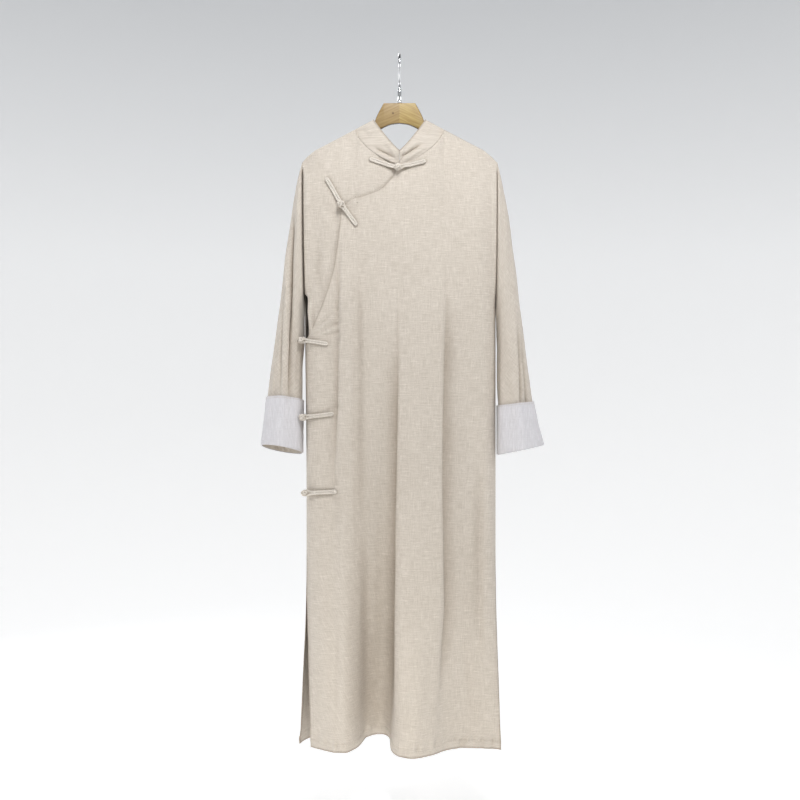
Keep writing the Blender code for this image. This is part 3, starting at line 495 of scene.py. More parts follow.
# How dark the painted shade in the cloth's creases and grooves is: depth of full shade, shares left free of
# it
SHADE_DEPTH = 7.0
CREASE_FREE = 0.35
GROOVE_FREE = 0.1
# Grains of the weave: waves a metre across and down, offset
WEFT_GRAIN = (44, 430, 0.0)
WARP_GRAIN = (430, 40, 5.0)
FIBRE_GRAIN = (420, 460, 9.0)
CLOUD_GRAIN = (9, 6, 2.0)
# Where a thread is thick, as a share of its noise, and the waves of the ribs across and down
SLUB_RANGE = (0.62, 0.76)
RIB_WAVES = (5200.0, 5700.0)
# A small dark knot in the wood: x, z, radius. The grain falls away from the middle by the slant
WOOD_KNOT = (-14.0, -123.0, 3.4)
WOOD_SLANT = 0.45

# Camera and backdrop
EYE = (1.1, -2600.0, -738.5)
FRAME_WIDTH = 1720.0
SENSOR = 36.0
FLOOR_Z = -1640.0
WALL_RADIUS = 4400.0
SWEEP = 1700.0
WORLD_STRENGTH = 0.12
WHITE = (1.0, 1.0, 1.0)
# Lamps in metres: name, place, aim, size, power in watts, colour
LAMPS = [
    ("key_light", (0.15, -1.2, 0.75), (0.0, 0.0, -0.2), 0.6, 22.3, WHITE),
    ("left_light", (-1.5, -0.75, -0.2), (-0.2, 0.0, -0.35), 0.5, 5.2, WHITE),
    ("right_light", (1.5, -0.8, -0.2), (0.25, 0.0, -0.35), 0.5, 4.0, WHITE),
    ("front_light", (0.3, -3.4, -0.9), (0.0, 0.0, -0.8), 1.4, 0.6, WHITE),
    ("low_light", (-0.045, -0.75, -1.6), (-0.045, 0.0, -1.34), 0.35, 2.5, (1.0, 0.95, 0.85)),
    ("slit_light", (-0.9, -0.35, -1.5), (-0.2, 0.0, -1.38), 0.3, 0.45, WHITE),
    ("rim_light", (-0.7, 1.4, 1.3), (0.0, 0.0, -0.6), 1.0, 13, WHITE),
    ("back_light", (-1.5, 1.6, -0.3), (0.0, 0.0, -0.8), 0.8, 6, WHITE),
]


def sizes():
    """The sizes that a user may change."""
    return bpy.context.scene.gown_sizes


def colours():
    """The colours that a user may change."""
    return bpy.context.scene.gown_colours


def ease(value):
    """Goes from 0 to 1 with level ends."""
    value = np.clip(value, 0.0, 1.0)
    return value * value * (3.0 - 2.0 * value)


def through(knots, values, at):
    """Reads a smooth curve through the values that never overshoots them."""
    knots = np.asarray(knots, float)
    values = np.asarray(values, float)
    at = np.clip(np.asarray(at, float), knots[0], knots[-1])
    steps = np.diff(knots)
    slopes = np.diff(values) / steps
    tangents = np.zeros_like(values)
    tangents[0] = slopes[0]
    tangents[-1] = slopes[-1]
    for i in range(1, len(values) - 1):
        if slopes[i - 1] * slopes[i] > 0:
            before = 2 * steps[i] + steps[i - 1]
            after = steps[i] + 2 * steps[i - 1]
            tangents[i] = (before + after) / (before / slopes[i - 1] + after / slopes[i])
    place = np.clip(np.searchsorted(knots, at, side="right") - 1, 0, len(steps) - 1)
    share = (at - knots[place]) / steps[place]
    square = share * share
    cube = square * share
    return (
        values[place] * (2 * cube - 3 * square + 1)
        + tangents[place] * steps[place] * (cube - 2 * square + share)
        + values[place + 1] * (3 * square - 2 * cube)
        + tangents[place + 1] * steps[place] * (cube - square)
    )


def unit(vectors):
    """Scales vectors to length one."""
    return vectors / np.maximum(np.linalg.norm(vectors, axis=-1, keepdims=True), 1e-9)


def column_of(table, number):
    """One column of a table."""
    return [row[number] for row in table]


def read(table, at, number=1):
    """Reads a column between rows that lie further and further from nought."""
    return np.interp(np.abs(at), np.abs(column_of(table, 0)), column_of(table, number))


def gone_along(points):
    """Distance of each point along a path."""
    return np.concatenate([[0.0], np.cumsum(np.linalg.norm(np.diff(points, axis=0), axis=1))])


def on_path(at, gone, points):
    """Points of a path at distances along it."""
    return np.stack([np.interp(at, gone, values) for values in np.asarray(points, float).T], axis=-1)


def bell(away, width, power=2):
    """Falls from 1 to nought within a width."""
    return np.exp(-((away / width) ** power))


def neck_height(x, drop, power):
    """Height of the neckline, an open curve between the two side neck points."""
    share = np.clip(np.abs(x) / NECK_HALF, 0.0, 1.0)
    return NECK_SIDE_Z - drop * (1.0 - share**power) ** (1.0 / power)


def neck_depth(x, depth):
    """How far the neckline stands out from the hanger's plane."""
    share = np.clip(np.abs(x) / NECK_HALF, 0.0, 1.0)
    return depth * (1.0 - share**NECK_FLATNESS)


class Panel:
    """A body panel's middle surface: across from 0 to 1, down from 0 to 1 (underarm) to 2 (hem)."""

    def __init__(self, folds, side, neck_drop, neck_out, neck_power, creases, seed):
        rows = np.array([row[1:] for row in folds], float)
        self.arm_y, self.under_x, self.under_y, self.waist_x, self.waist_y, self.hem_x, self.hem_y = rows.T
        self.side = side
        self.neck_drop = neck_drop
        self.neck_out = neck_out
        self.neck_power = neck_power
        self.creases = creases
        self.seed = seed
        steps = (
            np.hypot(np.diff(self.under_x), np.diff(self.under_y))
            + np.hypot(np.diff(self.waist_x), np.diff(self.waist_y))
            + np.hypot(np.diff(self.hem_x), np.diff(self.hem_y))
        )
        self.places = np.concatenate([[0.0], np.cumsum(steps)]) / steps.sum()
        spread = (self.under_x - self.under_x[0]) / (self.under_x[-1] - self.under_x[0])
        self.top_x = LEFT_SHOULDER_X + (RIGHT_SHOULDER_X - LEFT_SHOULDER_X) * spread

    def top_height(self, x):
        neck = neck_height(x, self.neck_drop, self.neck_power)
        return np.where(np.abs(x) < NECK_HALF, neck, read(SHOULDER_LINE, x))

    def upper(self, across, down):
        x_top = through(self.places, self.top_x, across)
        x_under = through(self.places, self.under_x, across)
        z_top = self.top_height(x_top)
        x = x_top + (x_under - x_top) * down
        z = z_top + (UNDERARM_Z - z_top) * down
        settled = ease((down - SETTLE_START) / (1 - SETTLE_START))
        body = through(self.places, self.arm_y, across) * (1 - settled)
        body = body + through(self.places, self.under_y, across) * settled
        fallen = z_top - z
        rise = (1 - np.exp(-fallen / YOKE_FALL)) / (1 - np.exp(-(z_top - UNDERARM_Z) / YOKE_FALL))
        on_shoulder = ease((np.abs(x_top) - NECK_HALF + SHOULDER_TURN) / SHOULDER_TURN)
        rounded = np.clip(fallen, 0.0, SHOULDER_ROUND)
        over = np.sqrt(SHOULDER_ROUND**2 - (SHOULDER_ROUND - rounded) ** 2)
        start = np.maximum(neck_depth(x_top, self.neck_out), SHOULDER_SEAM_HALF)
        y = self.side * (start + on_shoulder * over)
        y = y + (body - self.side * (start + on_shoulder * SHOULDER_ROUND)) * rise
        half = (SHOULDER_END_Z - UNDERARM_Z) / 2
        level = np.clip((z - UNDERARM_Z - half) / half, -1.0, 1.0)
        least = np.where(level > 0, SHOULDER_SEAM_HALF, SEAM_GAP)
        edge = self.side * np.maximum(ARMHOLE_DEPTH * np.sqrt(1 - level**2), least)
        from_edge = np.minimum(x_top - self.top_x[0], self.top_x[-1] - x_top)
        near = np.clip(1 - from_edge / ARMHOLE_BLEND, 0.0, 1.0) ** 2 * (1 - settled)
        return np.stack([x, y * (1 - near) + edge * near, z], axis=-1)

    def lower(self, across, z):
        xs = []
        ys = []
        last = len(self.places) - 1
        for i in range(last + 1):
            heights = [UNDERARM_Z, WAIST_Z, HEM_Z]
            x_knots = [self.under_x[i], self.waist_x[i], self.hem_x[i]]
            y_knots = [self.under_y[i], self.waist_y[i], self.hem_y[i]]
            if i in (0, last):
                heights.insert(2, SLIT_TOP_Z)
                x_knots.insert(2, self.waist_x[i])
                y_knots.insert(2, self.waist_y[i])
            depths = [-height for height in heights]
            xs.append(float(through(depths, x_knots, -z)))
            ys.append(float(through(depths, y_knots, -z)))
        x = through(self.places, xs, across)
        y = through(self.places, ys, across)
        return np.stack([x, y, np.full_like(x, z)], axis=-1)

    def points(self, across, down):
        across = np.clip(np.atleast_1d(np.asarray(across, float)), 0.0, 1.0)
        if down <= 1.0:
            return self.upper(across, down)
        return self.lower(across, height_of(down))

    def outward(self, across, down):
        """Normals that point out of the garment."""
        across = np.atleast_1d(np.asarray(across, float))
        small = 0.004
        above = self.points(across, max(down - small, 0.0))
        below = self.points(across, min(down + small, 2.0))
        before = self.points(across - small, down)
        after = self.points(across + small, down)
        return unit(np.cross(after - before, below - above)) * self.side

    def across_at(self, x, down):
        """The place across where the row passes over x."""
        places = np.linspace(0.0, 1.0, 241)
        row = self.points(places, down)[:, 0]
        return float(np.interp(x, np.maximum.accumulate(row), places))

    def find(self, x, z):
        """The place across and down of the surface over x at height z."""
        across, down = 0.5, 0.5
        for _ in range(30):
            if z < UNDERARM_Z:
                down = row_at(z)
            else:
                top = float(self.top_height(through(self.places, self.top_x, [across]))[0])
                down = (top - z) / (top - UNDERARM_Z)
            across = self.across_at(x, down)
        return across, down

    def lift(self, x, z):
        """How far the cloth stands off its solid's surface."""
        strength = sizes().crease_strength
        raised = strength * creased(self.creases, x, z) + rumpled(x, z, self.seed)
        raised = raised * seam_hold(self, x, z)
        return raised + turned_hem(x, z, self.seed + 10) * ease((HEM_Z + 90 - z) / 40)


def height_of(down):
    """Height of a row below the underarm."""
    return UNDERARM_Z + (HEM_Z - UNDERARM_Z) * (down - 1.0)


def row_at(z):
    """The row at a height below the underarm."""
    return 1.0 + (UNDERARM_Z - z) / (UNDERARM_Z - HEM_Z)


def overlap_x(down):
    """Where the front panel's free edge lies on a row."""
    return read(OVERLAP_UPPER, down) if down <= 1.0 else read(OVERLAP_LOWER, height_of(down))


def front_start(panel, down):
    """The front panel's first place across on a row."""
    if down > 1.0 and height_of(down) <= OVERLAP_LOWER[-1][0] + 1:
        return 0.0
    return panel.across_at(overlap_x(down), down)


def neck_ring(angle):
    """The neck seam and the collar's top edge at an angle: 0 in front, 180 behind, left side first."""
    turn = math.radians(angle)
    sine, cosine = math.sin(turn), math.cos(turn)
    front = cosine > 0
    power = NECK_FRONT_POWER if front else NECK_BACK_POWER
    x = -NECK_HALF * math.copysign(abs(sine) ** (2 / power), sine)
    drop, out = (NECK_FRONT_DROP, -NECK_FRONT_DEPTH) if front else (NECK_BACK_DROP, NECK_BACK_DEPTH)
    seam = np.array([x, neck_depth(x, out), neck_height(x, drop, power)])
    top_power = COLLAR_TOP_FRONT_POWER if front else COLLAR_TOP_BACK_POWER
    top_drop = COLLAR_TOP_FRONT_DROP if front else COLLAR_TOP_BACK_DROP
    top_out = -COLLAR_TOP_FRONT_Y if front else COLLAR_TOP_BACK_Y
    rise = abs(cosine) ** (2 / top_power)
    top_x = -COLLAR_TOP_HALF * math.copysign(abs(sine) ** (2 / top_power), sine)
    top = np.array([top_x, top_out * abs(cosine) ** COLLAR_LEAN_POWER, COLLAR_TOP_SIDE_Z - top_drop * rise])
    return seam, top


FRONT = Panel(FRONT_FOLDS, -1, NECK_FRONT_DROP, NECK_FRONT_DEPTH, NECK_FRONT_POWER, FRONT_CREASES, 11)
BACK = Panel(BACK_FOLDS, 1, NECK_BACK_DROP, NECK_BACK_DEPTH, NECK_BACK_POWER, BACK_CREASES, 31)


def grid_normals(middle, side, closed=False):
    """Normals of a grid of points that point out of the garment."""
    if closed:
        across = np.roll(middle, -1, axis=1) - np.roll(middle, 1, axis=1)
    else:
        across = np.gradient(middle, axis=1)
    down = np.gradient(middle, axis=0)
    return unit(np.cross(across, down)) * side


def creased(creases, x, z):
    """Height of the listed creases over places as seen from the front."""
    total = np.zeros_like(x)
    for line, height, left, right, sharp in creases:
        line = np.asarray(line, float)
        spans = np.diff(line, axis=0)
        lengths = np.linalg.norm(spans, axis=1)
        whole = lengths.sum()
        nearest = np.full(x.shape, 1e9)
        reach = np.ones_like(x)
        along = np.zeros_like(x)
        passed = 0.0
        for start, span, size in zip(line[:-1], spans, lengths):
            dx, dz = x - start[0], z - start[1]
            share = np.clip((dx * span[0] + dz * span[1]) / size**2, 0.0, 1.0)
            away = np.hypot(dx - span[0] * share, dz - span[1] * share)
            on_right = span[0] * dz - span[1] * dx > 0
            nearer = away < nearest
            nearest = np.where(nearer, away, nearest)
            reach = np.where(nearer, np.where(on_right, right, left), reach)
            along = np.where(nearer, passed + share * size, along)
            passed += size
        fade = ease(along / (0.3 * whole)) * ease((whole - along) / (0.3 * whole))
        share = nearest / reach
        soft = np.exp(-(share**2))
        keen = np.exp(-(np.sqrt(share**2 + 0.04) - 0.2))
        total += height * fade * np.where(sharp > 0, keen, soft)
    return total


def waves(u, v, length, seed, stretch=1.0):
    """A smooth unevenness about one high, from waves that run many ways."""
    random = np.random.default_rng(seed)
    total = np.zeros(np.broadcast(u, v).shape)
    for _ in range(9):
        turn = random.uniform(0.0, math.pi)
        size = length * random.uniform(0.6, 1.9)
        phase = random.uniform(0.0, 2 * math.pi)
        total += np.sin((u * math.cos(turn) + v * math.sin(turn) / stretch) * 2 * math.pi / size + phase)
    return total / 4


def rumpled(x, z, seed):
    """The gentle unevenness of hand-ironed cloth."""
    large = waves(x, z, RUMPLE_WAVE, seed, RUMPLE_STRETCH)
    return RUMPLE * large + SMALL_RUMPLE * waves(x, z, SMALL_WAVE, seed + 1, 1.6)


def seam_hold(panel, x, z):
    """Fades the creases out at the side seams above the slits and at the shoulders and neck."""
    sides = ease((x - read(SEAM_LINES, z)) / SEAM_HOLD) * ease((read(SEAM_LINES, z, 2) - x) / SEAM_HOLD)
    freed = ease((SLIT_TOP_Z - z) / 60)
    top = panel.top_height(np.clip(x, -208, 208))
    return (sides + (1 - sides) * freed * 0.6) * ease((top - z) / TOP_HOLD)


def turned_hem(x, z, seed):
    """The turned-up hem: a dent along its stitches and puckers that die out above it."""
    above = z - (HEM_Z + sizes().hem_turn / MM)
    dent = -HEM_DENT * bell(above, HEM_DENT_WIDTH)
    double = HEM_RISE * ease((1.5 - above) / 3)
    pulled = waves(x, z * 0.2, PUCKER_WAVE, seed) * bell(above, PUCKER_REACH)
    return dent + double + PUCKER_SHARE * sizes().hem_pucker / MM * pulled


def armhole_groove(x, z):
    """The groove that the cloth sinks into along the armhole seams."""
    total = 0.0
    for number, depth, width in ARMHOLE_GROOVES:
        total = total - depth * bell(x - read(ARMHOLE_SEAM, z, number), width)
    return total * ease((z + 552) / 40) * ease((-236 - z) / 22)


def flat_places(middle, closed=False, grain_x=None):
    """Where each point lies on the flat cloth, in metres: across its row and down its column."""
    ring = np.concatenate([middle, middle[:, :1]], axis=1) if closed else middle
    steps = np.linalg.norm(np.diff(ring, axis=1), axis=2)
    across = np.concatenate([np.zeros((len(ring), 1)), np.cumsum(steps, axis=1)], axis=1)
    if grain_x is None:
        across -= across[:, across.shape[1] // 2][:, None]
    else:
        across -= np.array([[np.interp(grain_x, x, at)] for x, at in zip(ring[..., 0], across)])
    return np.stack([across, ring[..., 2]], axis=-1) * MM


def add_object(name, data):
    """Adds an object to the scene."""
    made = bpy.data.objects.new(name, data)
    bpy.context.scene.collection.objects.link(made)
    return made


def add_mesh(name, points, faces, material, sharp=None):
    """Adds a smooth mesh from points in millimetres, its edges sharp from an angle in degrees on."""
    mesh = bpy.data.meshes.new(name)
    mesh.from_pydata((np.asarray(points) * MM).tolist(), [], faces)
    mesh.update()
    mesh.shade_smooth()
    if sharp:
        mesh.set_sharp_from_angle(angle=math.radians(sharp))
    mesh.materials.append(material)
    return add_object(name, mesh)


def face_inwards(points, faces, centre):
    """Whether the faces as a whole look towards a centre."""
    corners = points[faces]
    crosses = np.cross(corners[:, 1] - corners[:, 0], corners[:, 2] - corners[:, 0])
    return np.einsum("ij,ij->i", corners[:, 0] - centre, crosses).sum() < 0


def cloth_shell(name, outer, inner, material, edge, closed=False, grain_x=None, grain_turn=0.0):
    """A thin shell of cloth from its outer and inner points, with its flat places and a darkening per point
    for its edges and its painted shade.
    """
    rows, columns = outer.shape[:2]
    wide = columns + 1 if closed else columns
    count = rows * wide
    place = np.arange(count).reshape(rows, wide)
    skin = np.stack([place[:-1, :-1], place[:-1, 1:], place[1:, 1:], place[1:, :-1]], axis=-1).reshape(-1, 4)
    rims = [place[0], place[-1, ::-1]]
    if not closed:
        rims += [place[:, -1], place[::-1, 0]]
    parts = [skin, skin[:, ::-1] + count]
    for rim in rims:
        parts.append(np.stack([rim[1:], rim[:-1], rim[:-1] + count, rim[1:] + count], axis=-1))
    corners = np.concatenate(parts)
    layer, rest = np.divmod(corners, count)
    row, column = np.divmod(rest, wide)
    faces = layer * rows * columns + row * columns + column % columns
    flat = flat_places((outer + inner) / 2, closed, grain_x).reshape(-1, 2)
    cosine, sine = math.cos(grain_turn), math.sin(grain_turn)
    flat = flat @ np.array([[cosine, sine], [-sine, cosine]])
    flat = flat[rest]
    points = np.concatenate([outer.reshape(-1, 3), inner.reshape(-1, 3)])
    if face_inwards(points, faces, 0.0):
        faces, flat = faces[:, ::-1], flat[:, ::-1]
    made = add_mesh(name, points, faces.tolist(), material, CLOTH_SHARP)
    layer = made.data.uv_layers.new(name="flat_cloth")
    layer.data.foreach_set("uv", flat.reshape(-1).astype(np.float32))
    worn = made.data.attributes.new("worn", "FLOAT", "POINT")
    worn.data.foreach_set("value", np.tile(edge.reshape(-1), 2).astype(np.float32))
    return made


def dress(piece, slot, *nodes):
    """The piece rides on the body and stands for its solids."""
    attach(piece, BODY)
    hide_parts(*nodes)
    return piece


def rows_of():
    """Rows of a body panel, closer together where the shoulder turns and at the hem."""
    upper = np.concatenate([np.linspace(0, 0.03, 6)[:-1], np.linspace(0.03, 1, UPPER_ROWS)])
    heights = np.arange(UNDERARM_Z - ROW_HEIGHT, HEM_Z + 32, -ROW_HEIGHT)
    heights = np.concatenate([heights, np.linspace(HEM_Z + 30, HEM_Z, 16)])
    return list(upper) + [row_at(z) for z in heights]


def shadowed(lift, sunk):
    """Painted shade: darker cloth deep in sharp creases and along the armhole's groove."""
    return np.clip(np.maximum(-lift / SHADE_DEPTH - CREASE_FREE, -sunk / SHADE_DEPTH - GROOVE_FREE), 0, 1)


def shadow_beside_straps(x, z):
    """Painted shadow in the cloth close round the knots' straps, seen from the front."""
    strap_shadow = np.zeros_like(x)
    for (near_x, near_z), (far_x, far_z) in STRAP_LINES:
        run_x, run_z = far_x - near_x, far_z - near_z
        along = np.clip(((x - near_x) * run_x + (z - near_z) * run_z) / (run_x**2 + run_z**2), 0, 1)
        away = np.hypot(x - near_x - along * run_x, z - near_z - along * run_z)
        strap_shadow = np.maximum(strap_shadow, 0.8 * bell(away, 6.0, 4))
    return strap_shadow


def panel_shell(name, panel, rows, spans, lift, moved_in, grain_x, edge):
    """A body panel's cloth on its solid's surface, raised by its creases."""
    middle = np.array([panel.points(places, down) for down, places in zip(rows, spans)])
    normal = grid_normals(middle, panel.side)
    raised = lift(middle[..., 0], middle[..., 2])
    if moved_in:
        raised = raised - moved_in(middle, rows)
    sunk = armhole_groove(middle[..., 0], middle[..., 2]) * (1.0 if panel.side < 0 else 0.6)
    middle = middle + normal * raised[..., None]
    middle[..., 1] += panel.side * sunk
    normal = grid_normals(middle, panel.side)
    half = sizes().cloth_wall / MM / 2
    hem = half * ease((HEM_Z + 18 - middle[..., 2]) / 2)[..., None]
    outer = middle + normal * half
    inner = middle - normal * (half + hem)
    # Darker edges, and painted shade deep in the creases and in the armhole's groove
    worn = np.maximum(edge(middle), shadowed(raised, sunk))
    # On the front, a painted shadow round the knots' straps
    if panel.side < 0:
        worn = np.maximum(worn, shadow_beside_straps(middle[..., 0], middle[..., 2]))
    return cloth_shell(name, outer, inner, linen(), worn, grain_x=grain_x), outer, normal


def slit_edge(middle, free_edge):
    """Darker cloth along the hem's fold and the slits' edges, and painted shade along a free front edge."""
    x, z = middle[..., 0], middle[..., 2]
    first = np.abs(x - x[:, :1])
    away = np.minimum(first, np.abs(x - x[:, -1:]))
    slit = bell(away, 2.2) * ease((SLIT_TOP_Z + 30 - z) / 30)
    worn = np.maximum(bell(z - HEM_Z, 3.4, 4), slit)
    # A painted shade line along the front's free edge, where it lies over the small front
    if free_edge:
        worn = np.maximum(worn, 0.8 * bell(first, 2.2) * (z > OVERLAP_LOWER[-1][0]))
    return worn


def graded(count, finer):
    """Places from 0 to 1, closer together round the finer ones."""
    place = np.linspace(0.0, 1.0, 2001)
    weight = 1.0 + 1.7 * sum(bell(place - middle, 0.02) for middle in finer)
    gone = np.concatenate([[0.0], np.cumsum((weight[1:] + weight[:-1]) / 2)])
    return np.interp(np.linspace(0.0, gone[-1], count), gone, place)


def make_front():
    """The large overlapping front, from the curved overlap to the side seams and down to the hem."""
    rows = rows_of()
    full = graded(FRONT_COLUMNS, [0.0, 1.0] + [FRONT.across_at(x, 1.4) for x in FRONT_SHARP_X])
    spans = []
    for down in rows:
        start = front_start(FRONT, down)
        crowd = min(3.0, 0.9 / max(start, 0.01))
        spans.append(full + start * (1 - full) ** crowd)
    made, outer, normal = panel_shell(
        "gown_front", FRONT, rows, spans, FRONT.lift, None, 0.0, lambda middle: slit_edge(middle, True)
    )
    dress(made, "gown_cloth", "front_panel")
    STITCH_LINES.update(hem_and_slits("front", outer, normal))
    return made


def beneath(middle, rows):
    """How far the small front lies in under the overlap."""
    x = middle[..., 0]
    moved = np.zeros_like(x)
    for row, down in enumerate(rows):
        past = x[row] - overlap_x(down)
        if down > 1.0 and height_of(down) <= OVERLAP_LOWER[-1][0]:
            past = np.full(len(past), LAYER_RAMP)
        moved[row] = (CLOTH + LAYER_GAP) * ease((past + LAYER_RAMP) / LAYER_RAMP)
    return moved


def under_lift(x, z):
    """The small front's creases, and the rolled edge of the side opening."""
    in_opening = ease((z + 621) / 30) * ease((-505 - z) / 30)
    rolled = 3.4 * bell(x - read(SEAM_LINES, z) - 15, 4.5) * in_opening
    return FRONT.lift(x, z) + rolled


def make_under_front():
    """The small front beneath the overlap, sewn into the shoulder, armhole and side."""
    rows = [down for down in rows_of() if down <= row_at(UNDER_FRONT_HEM_Z)]
    last = (FRONT.places[6] + FRONT.places[5]) / 2
    share = graded(UNDER_COLUMNS, [0.0, 0.06, 0.1])
    spans = []
    for down in rows:
        ends = FRONT.points([0.0, 0.3], down)
        z = float(ends[1, 2])
        inset = read(SIDE_OPENING, z)
        start = FRONT.across_at(float(ends[0, 0]) + inset, down) if inset > 0 else 0.0
        end = last if down >= 1.0 else FRONT.across_at(read(UNDER_FRONT_INNER, z), down)
        spans.append(start + (end - start) * share)
    made, _, _ = panel_shell(
        "gown_under_front", FRONT, rows, spans, under_lift, beneath, -100.0, lambda middle: 0.0
    )
    return dress(made, "gown_cloth", "under_front")


def make_back():
    """The whole back, from the shoulders and the drooping neckline to the hem."""
    rows = rows_of()
    places = graded(BACK_COLUMNS, [0.0, 1.0] + [BACK.across_at(x, 1.4) for x in BACK_SHARP_X])
    spans = [places] * len(rows)
    made, outer, normal = panel_shell(
        "gown_back", BACK, rows, spans, BACK.lift, None, 0.0, lambda middle: slit_edge(middle, False)
    )
    dress(made, "gown_cloth", "back_panel")
    STITCH_LINES.update(hem_and_slits("back", outer, normal))
    return made


def hem_and_slits(name, outer, normal):
    """Paths of the stitches above the hem and along both slit edges."""
    lift = 0.15
    z = outer[:, 0, 2]
    row = int(np.argmin(np.abs(z - (HEM_Z + sizes().hem_turn / MM))))
    lines = {"hem_stitches_" + name: outer[row] + normal[row] * lift}
    below = np.where((z < SLIT_TOP_Z + 12) & (z > HEM_Z + sizes().hem_turn / MM))[0]
    for side, ends in (("left", slice(None)), ("right", slice(None, None, -1))):
        path = []
        for k in below:
            points, outs = outer[k][ends], normal[k][ends]
            path.append(on_path(SLIT_TURN, gone_along(points), points + outs * lift))
        lines[f"slit_stitches_{name}_{side}"] = np.array(path)
    return lines


def tube_grid(table, lift, first, last, rings, sides):
    """Points of a sleeve's middle surface, raised by lift in millimetres for each ring."""
    knots = np.arange(len(table))
    at = np.linspace(first, last, rings)
    columns = [through(knots, column_of(table, k), at) for k in range(1, 8)]
    angles = np.linspace(0.0, 360.0, sides, endpoint=False)
    turn = np.radians(angles)
    cuff_depth = table[CUFF_TOP_RING][6]
    grid = np.zeros((rings, sides, 3))
    for ring in range(rings):
        outer_x, outer_z, inner_x, inner_z, middle_y, half_depth, back_lower = [c[ring] for c in columns]
        middle = np.array([(outer_x + inner_x) / 2, middle_y, (outer_z + inner_z) / 2])
        reach = np.array([outer_x - middle[0], 0.0, outer_z - middle[2]])
        reach = reach * (1 + lift[ring] / np.linalg.norm(reach))
        front = np.array([0.0, -(half_depth + lift[ring]), back_lower / 2])
        folded = np.ones(sides)
        for _, place, width, depth, start in SLEEVE_FOLDS:
            grown = ease((at[ring] - start) / (CUFF_TOP_RING - start))
            fade = 1.0 - CUFF_CALM * ease((at[ring] - CUFF_TOP_RING) / (len(table) - 1 - CUFF_TOP_RING))
            away = (angles - place + 180) % 360 - 180
            folded -= depth / cuff_depth * grown * fade * bell(away, width)
        spread = reach * np.cos(turn)[:, None] + front * np.sin(turn)[:, None]
        grid[ring] = middle + spread * folded[:, None]
    return grid


def make_sleeve(side, table, front_creases, back_creases, seed):
    """One sleeve, a tube set in at the armhole with its creases in front and behind."""
    last = len(table) - 1
    middle = tube_grid(table, np.zeros(TUBE_RINGS), 0, last - 0.03, TUBE_RINGS, TUBE_SIDES)
    turn = -1 if side == "left" else 1
    normal = grid_normals(middle, turn, closed=True)
    x, z = middle[..., 0], middle[..., 2]
    facing = np.clip(-normal[..., 1] * FRONT_FOCUS, 0, 1)
    behind = np.clip(normal[..., 1] * FRONT_FOCUS, 0, 1)
    lift = facing * creased(front_creases, x, z) + behind * creased(back_creases, x, z)
    lift = sizes().crease_strength * lift + 0.7 * rumpled(x + middle[..., 1], z, seed)
    far = np.linspace(0, 1, TUBE_RINGS)[:, None]
    room = 1 - 0.9 * ease((far - 0.74) / 0.04)
    lift = np.where(lift > 0, lift * room, lift) * ease(far / 0.03)
    body_side = np.clip(-normal[..., 0] * turn * BODY_FOCUS, 0, 1)
    lift = np.where(lift > 0, lift * (1 - body_side), lift)
    meets = LEFT_MEETS if side == "left" else RIGHT_MEETS
    lift = lift + body_side * read(meets, z)
    sunk = np.clip(-middle[..., 1] / 6, -0.6, 1) * armhole_groove(x, z)
    middle = middle + normal * lift[..., None]
    middle[..., 1] -= sunk
    normal = grid_normals(middle, turn, closed=True)
    half = sizes().cloth_wall / MM / 2
    # Painted shade deep in the sleeve's creases and in the armhole's groove
    worn = shadowed(np.minimum(lift, 0), sunk)
    outer, inner = middle + normal * half, middle - normal * half
    made = cloth_shell("sleeve_cloth_" + side, outer, inner, linen(), worn, True, grain_turn=SLEEVE_GRAIN)
    return dress(made, "gown_cloth", "sleeve_" + side)


def make_cuff(side, table, seed):
    """One turned-back cuff, a white band whose lower edge is the sleeve's fold."""
    last = len(table) - 1
    share = np.linspace(0.0, 1.0, CUFF_RINGS)
    half = sizes().cuff_wall / MM / 2
    lift = CLOTH / 2 + CUFF_GAP + CLOTH / 2 + CUFF_FLARE * (1 - share)
    lift = lift - (lift + 0.3) * ease((share - 0.965) / 0.035) ** 2
    middle = tube_grid(table, lift, CUFF_TOP_RING, last + 0.0, CUFF_RINGS, CUFF_SIDES)
    turn = -1 if side == "left" else 1
    normal = grid_normals(middle, turn, closed=True)
    x, y, z = middle[..., 0], middle[..., 1], middle[..., 2]
    round_it = np.linspace(0, 2 * math.pi, CUFF_SIDES, endpoint=False)[None, :]
    pleats = waves(46 * np.cos(round_it) + 0 * z, 46 * np.sin(round_it) + z * 0.12, 21.0, seed) * 0.55
    lift = pleats + 0.35 * waves(x + y, z, 34.0, seed + 1)
    along = share[:, None]
    lift = lift * ease(along / 0.06) * ease((1 - along) / 0.1)
    dent = -0.4 * bell(along - CUFF_TURN, 0.016)
    body_side = np.clip(-normal[..., 0] * turn * BODY_FOCUS, 0, 1)
    middle = middle + normal * (np.where(lift > 0, lift * (1 - body_side), lift) + dent)[..., None]
    normal = grid_normals(middle, turn, closed=True)
    # Painted shade along the cuff's top edge, where it stands off the sleeve
    edge = 0.9 * bell(along, 0.02) + 0 * x
    outer = middle + normal * half
    made = cloth_shell("cuff_band_" + side, outer, middle - normal * half, lining(), edge, closed=True)
    row = int(np.argmin(np.abs(share - CUFF_TURN)))
    ring = outer[row] + normal[row] * 0.1
    STITCH_LINES["cuff_stitches_" + side] = np.concatenate([ring, ring[:1]])
    return dress(made, "cuff_cloth", "cuff_" + side)


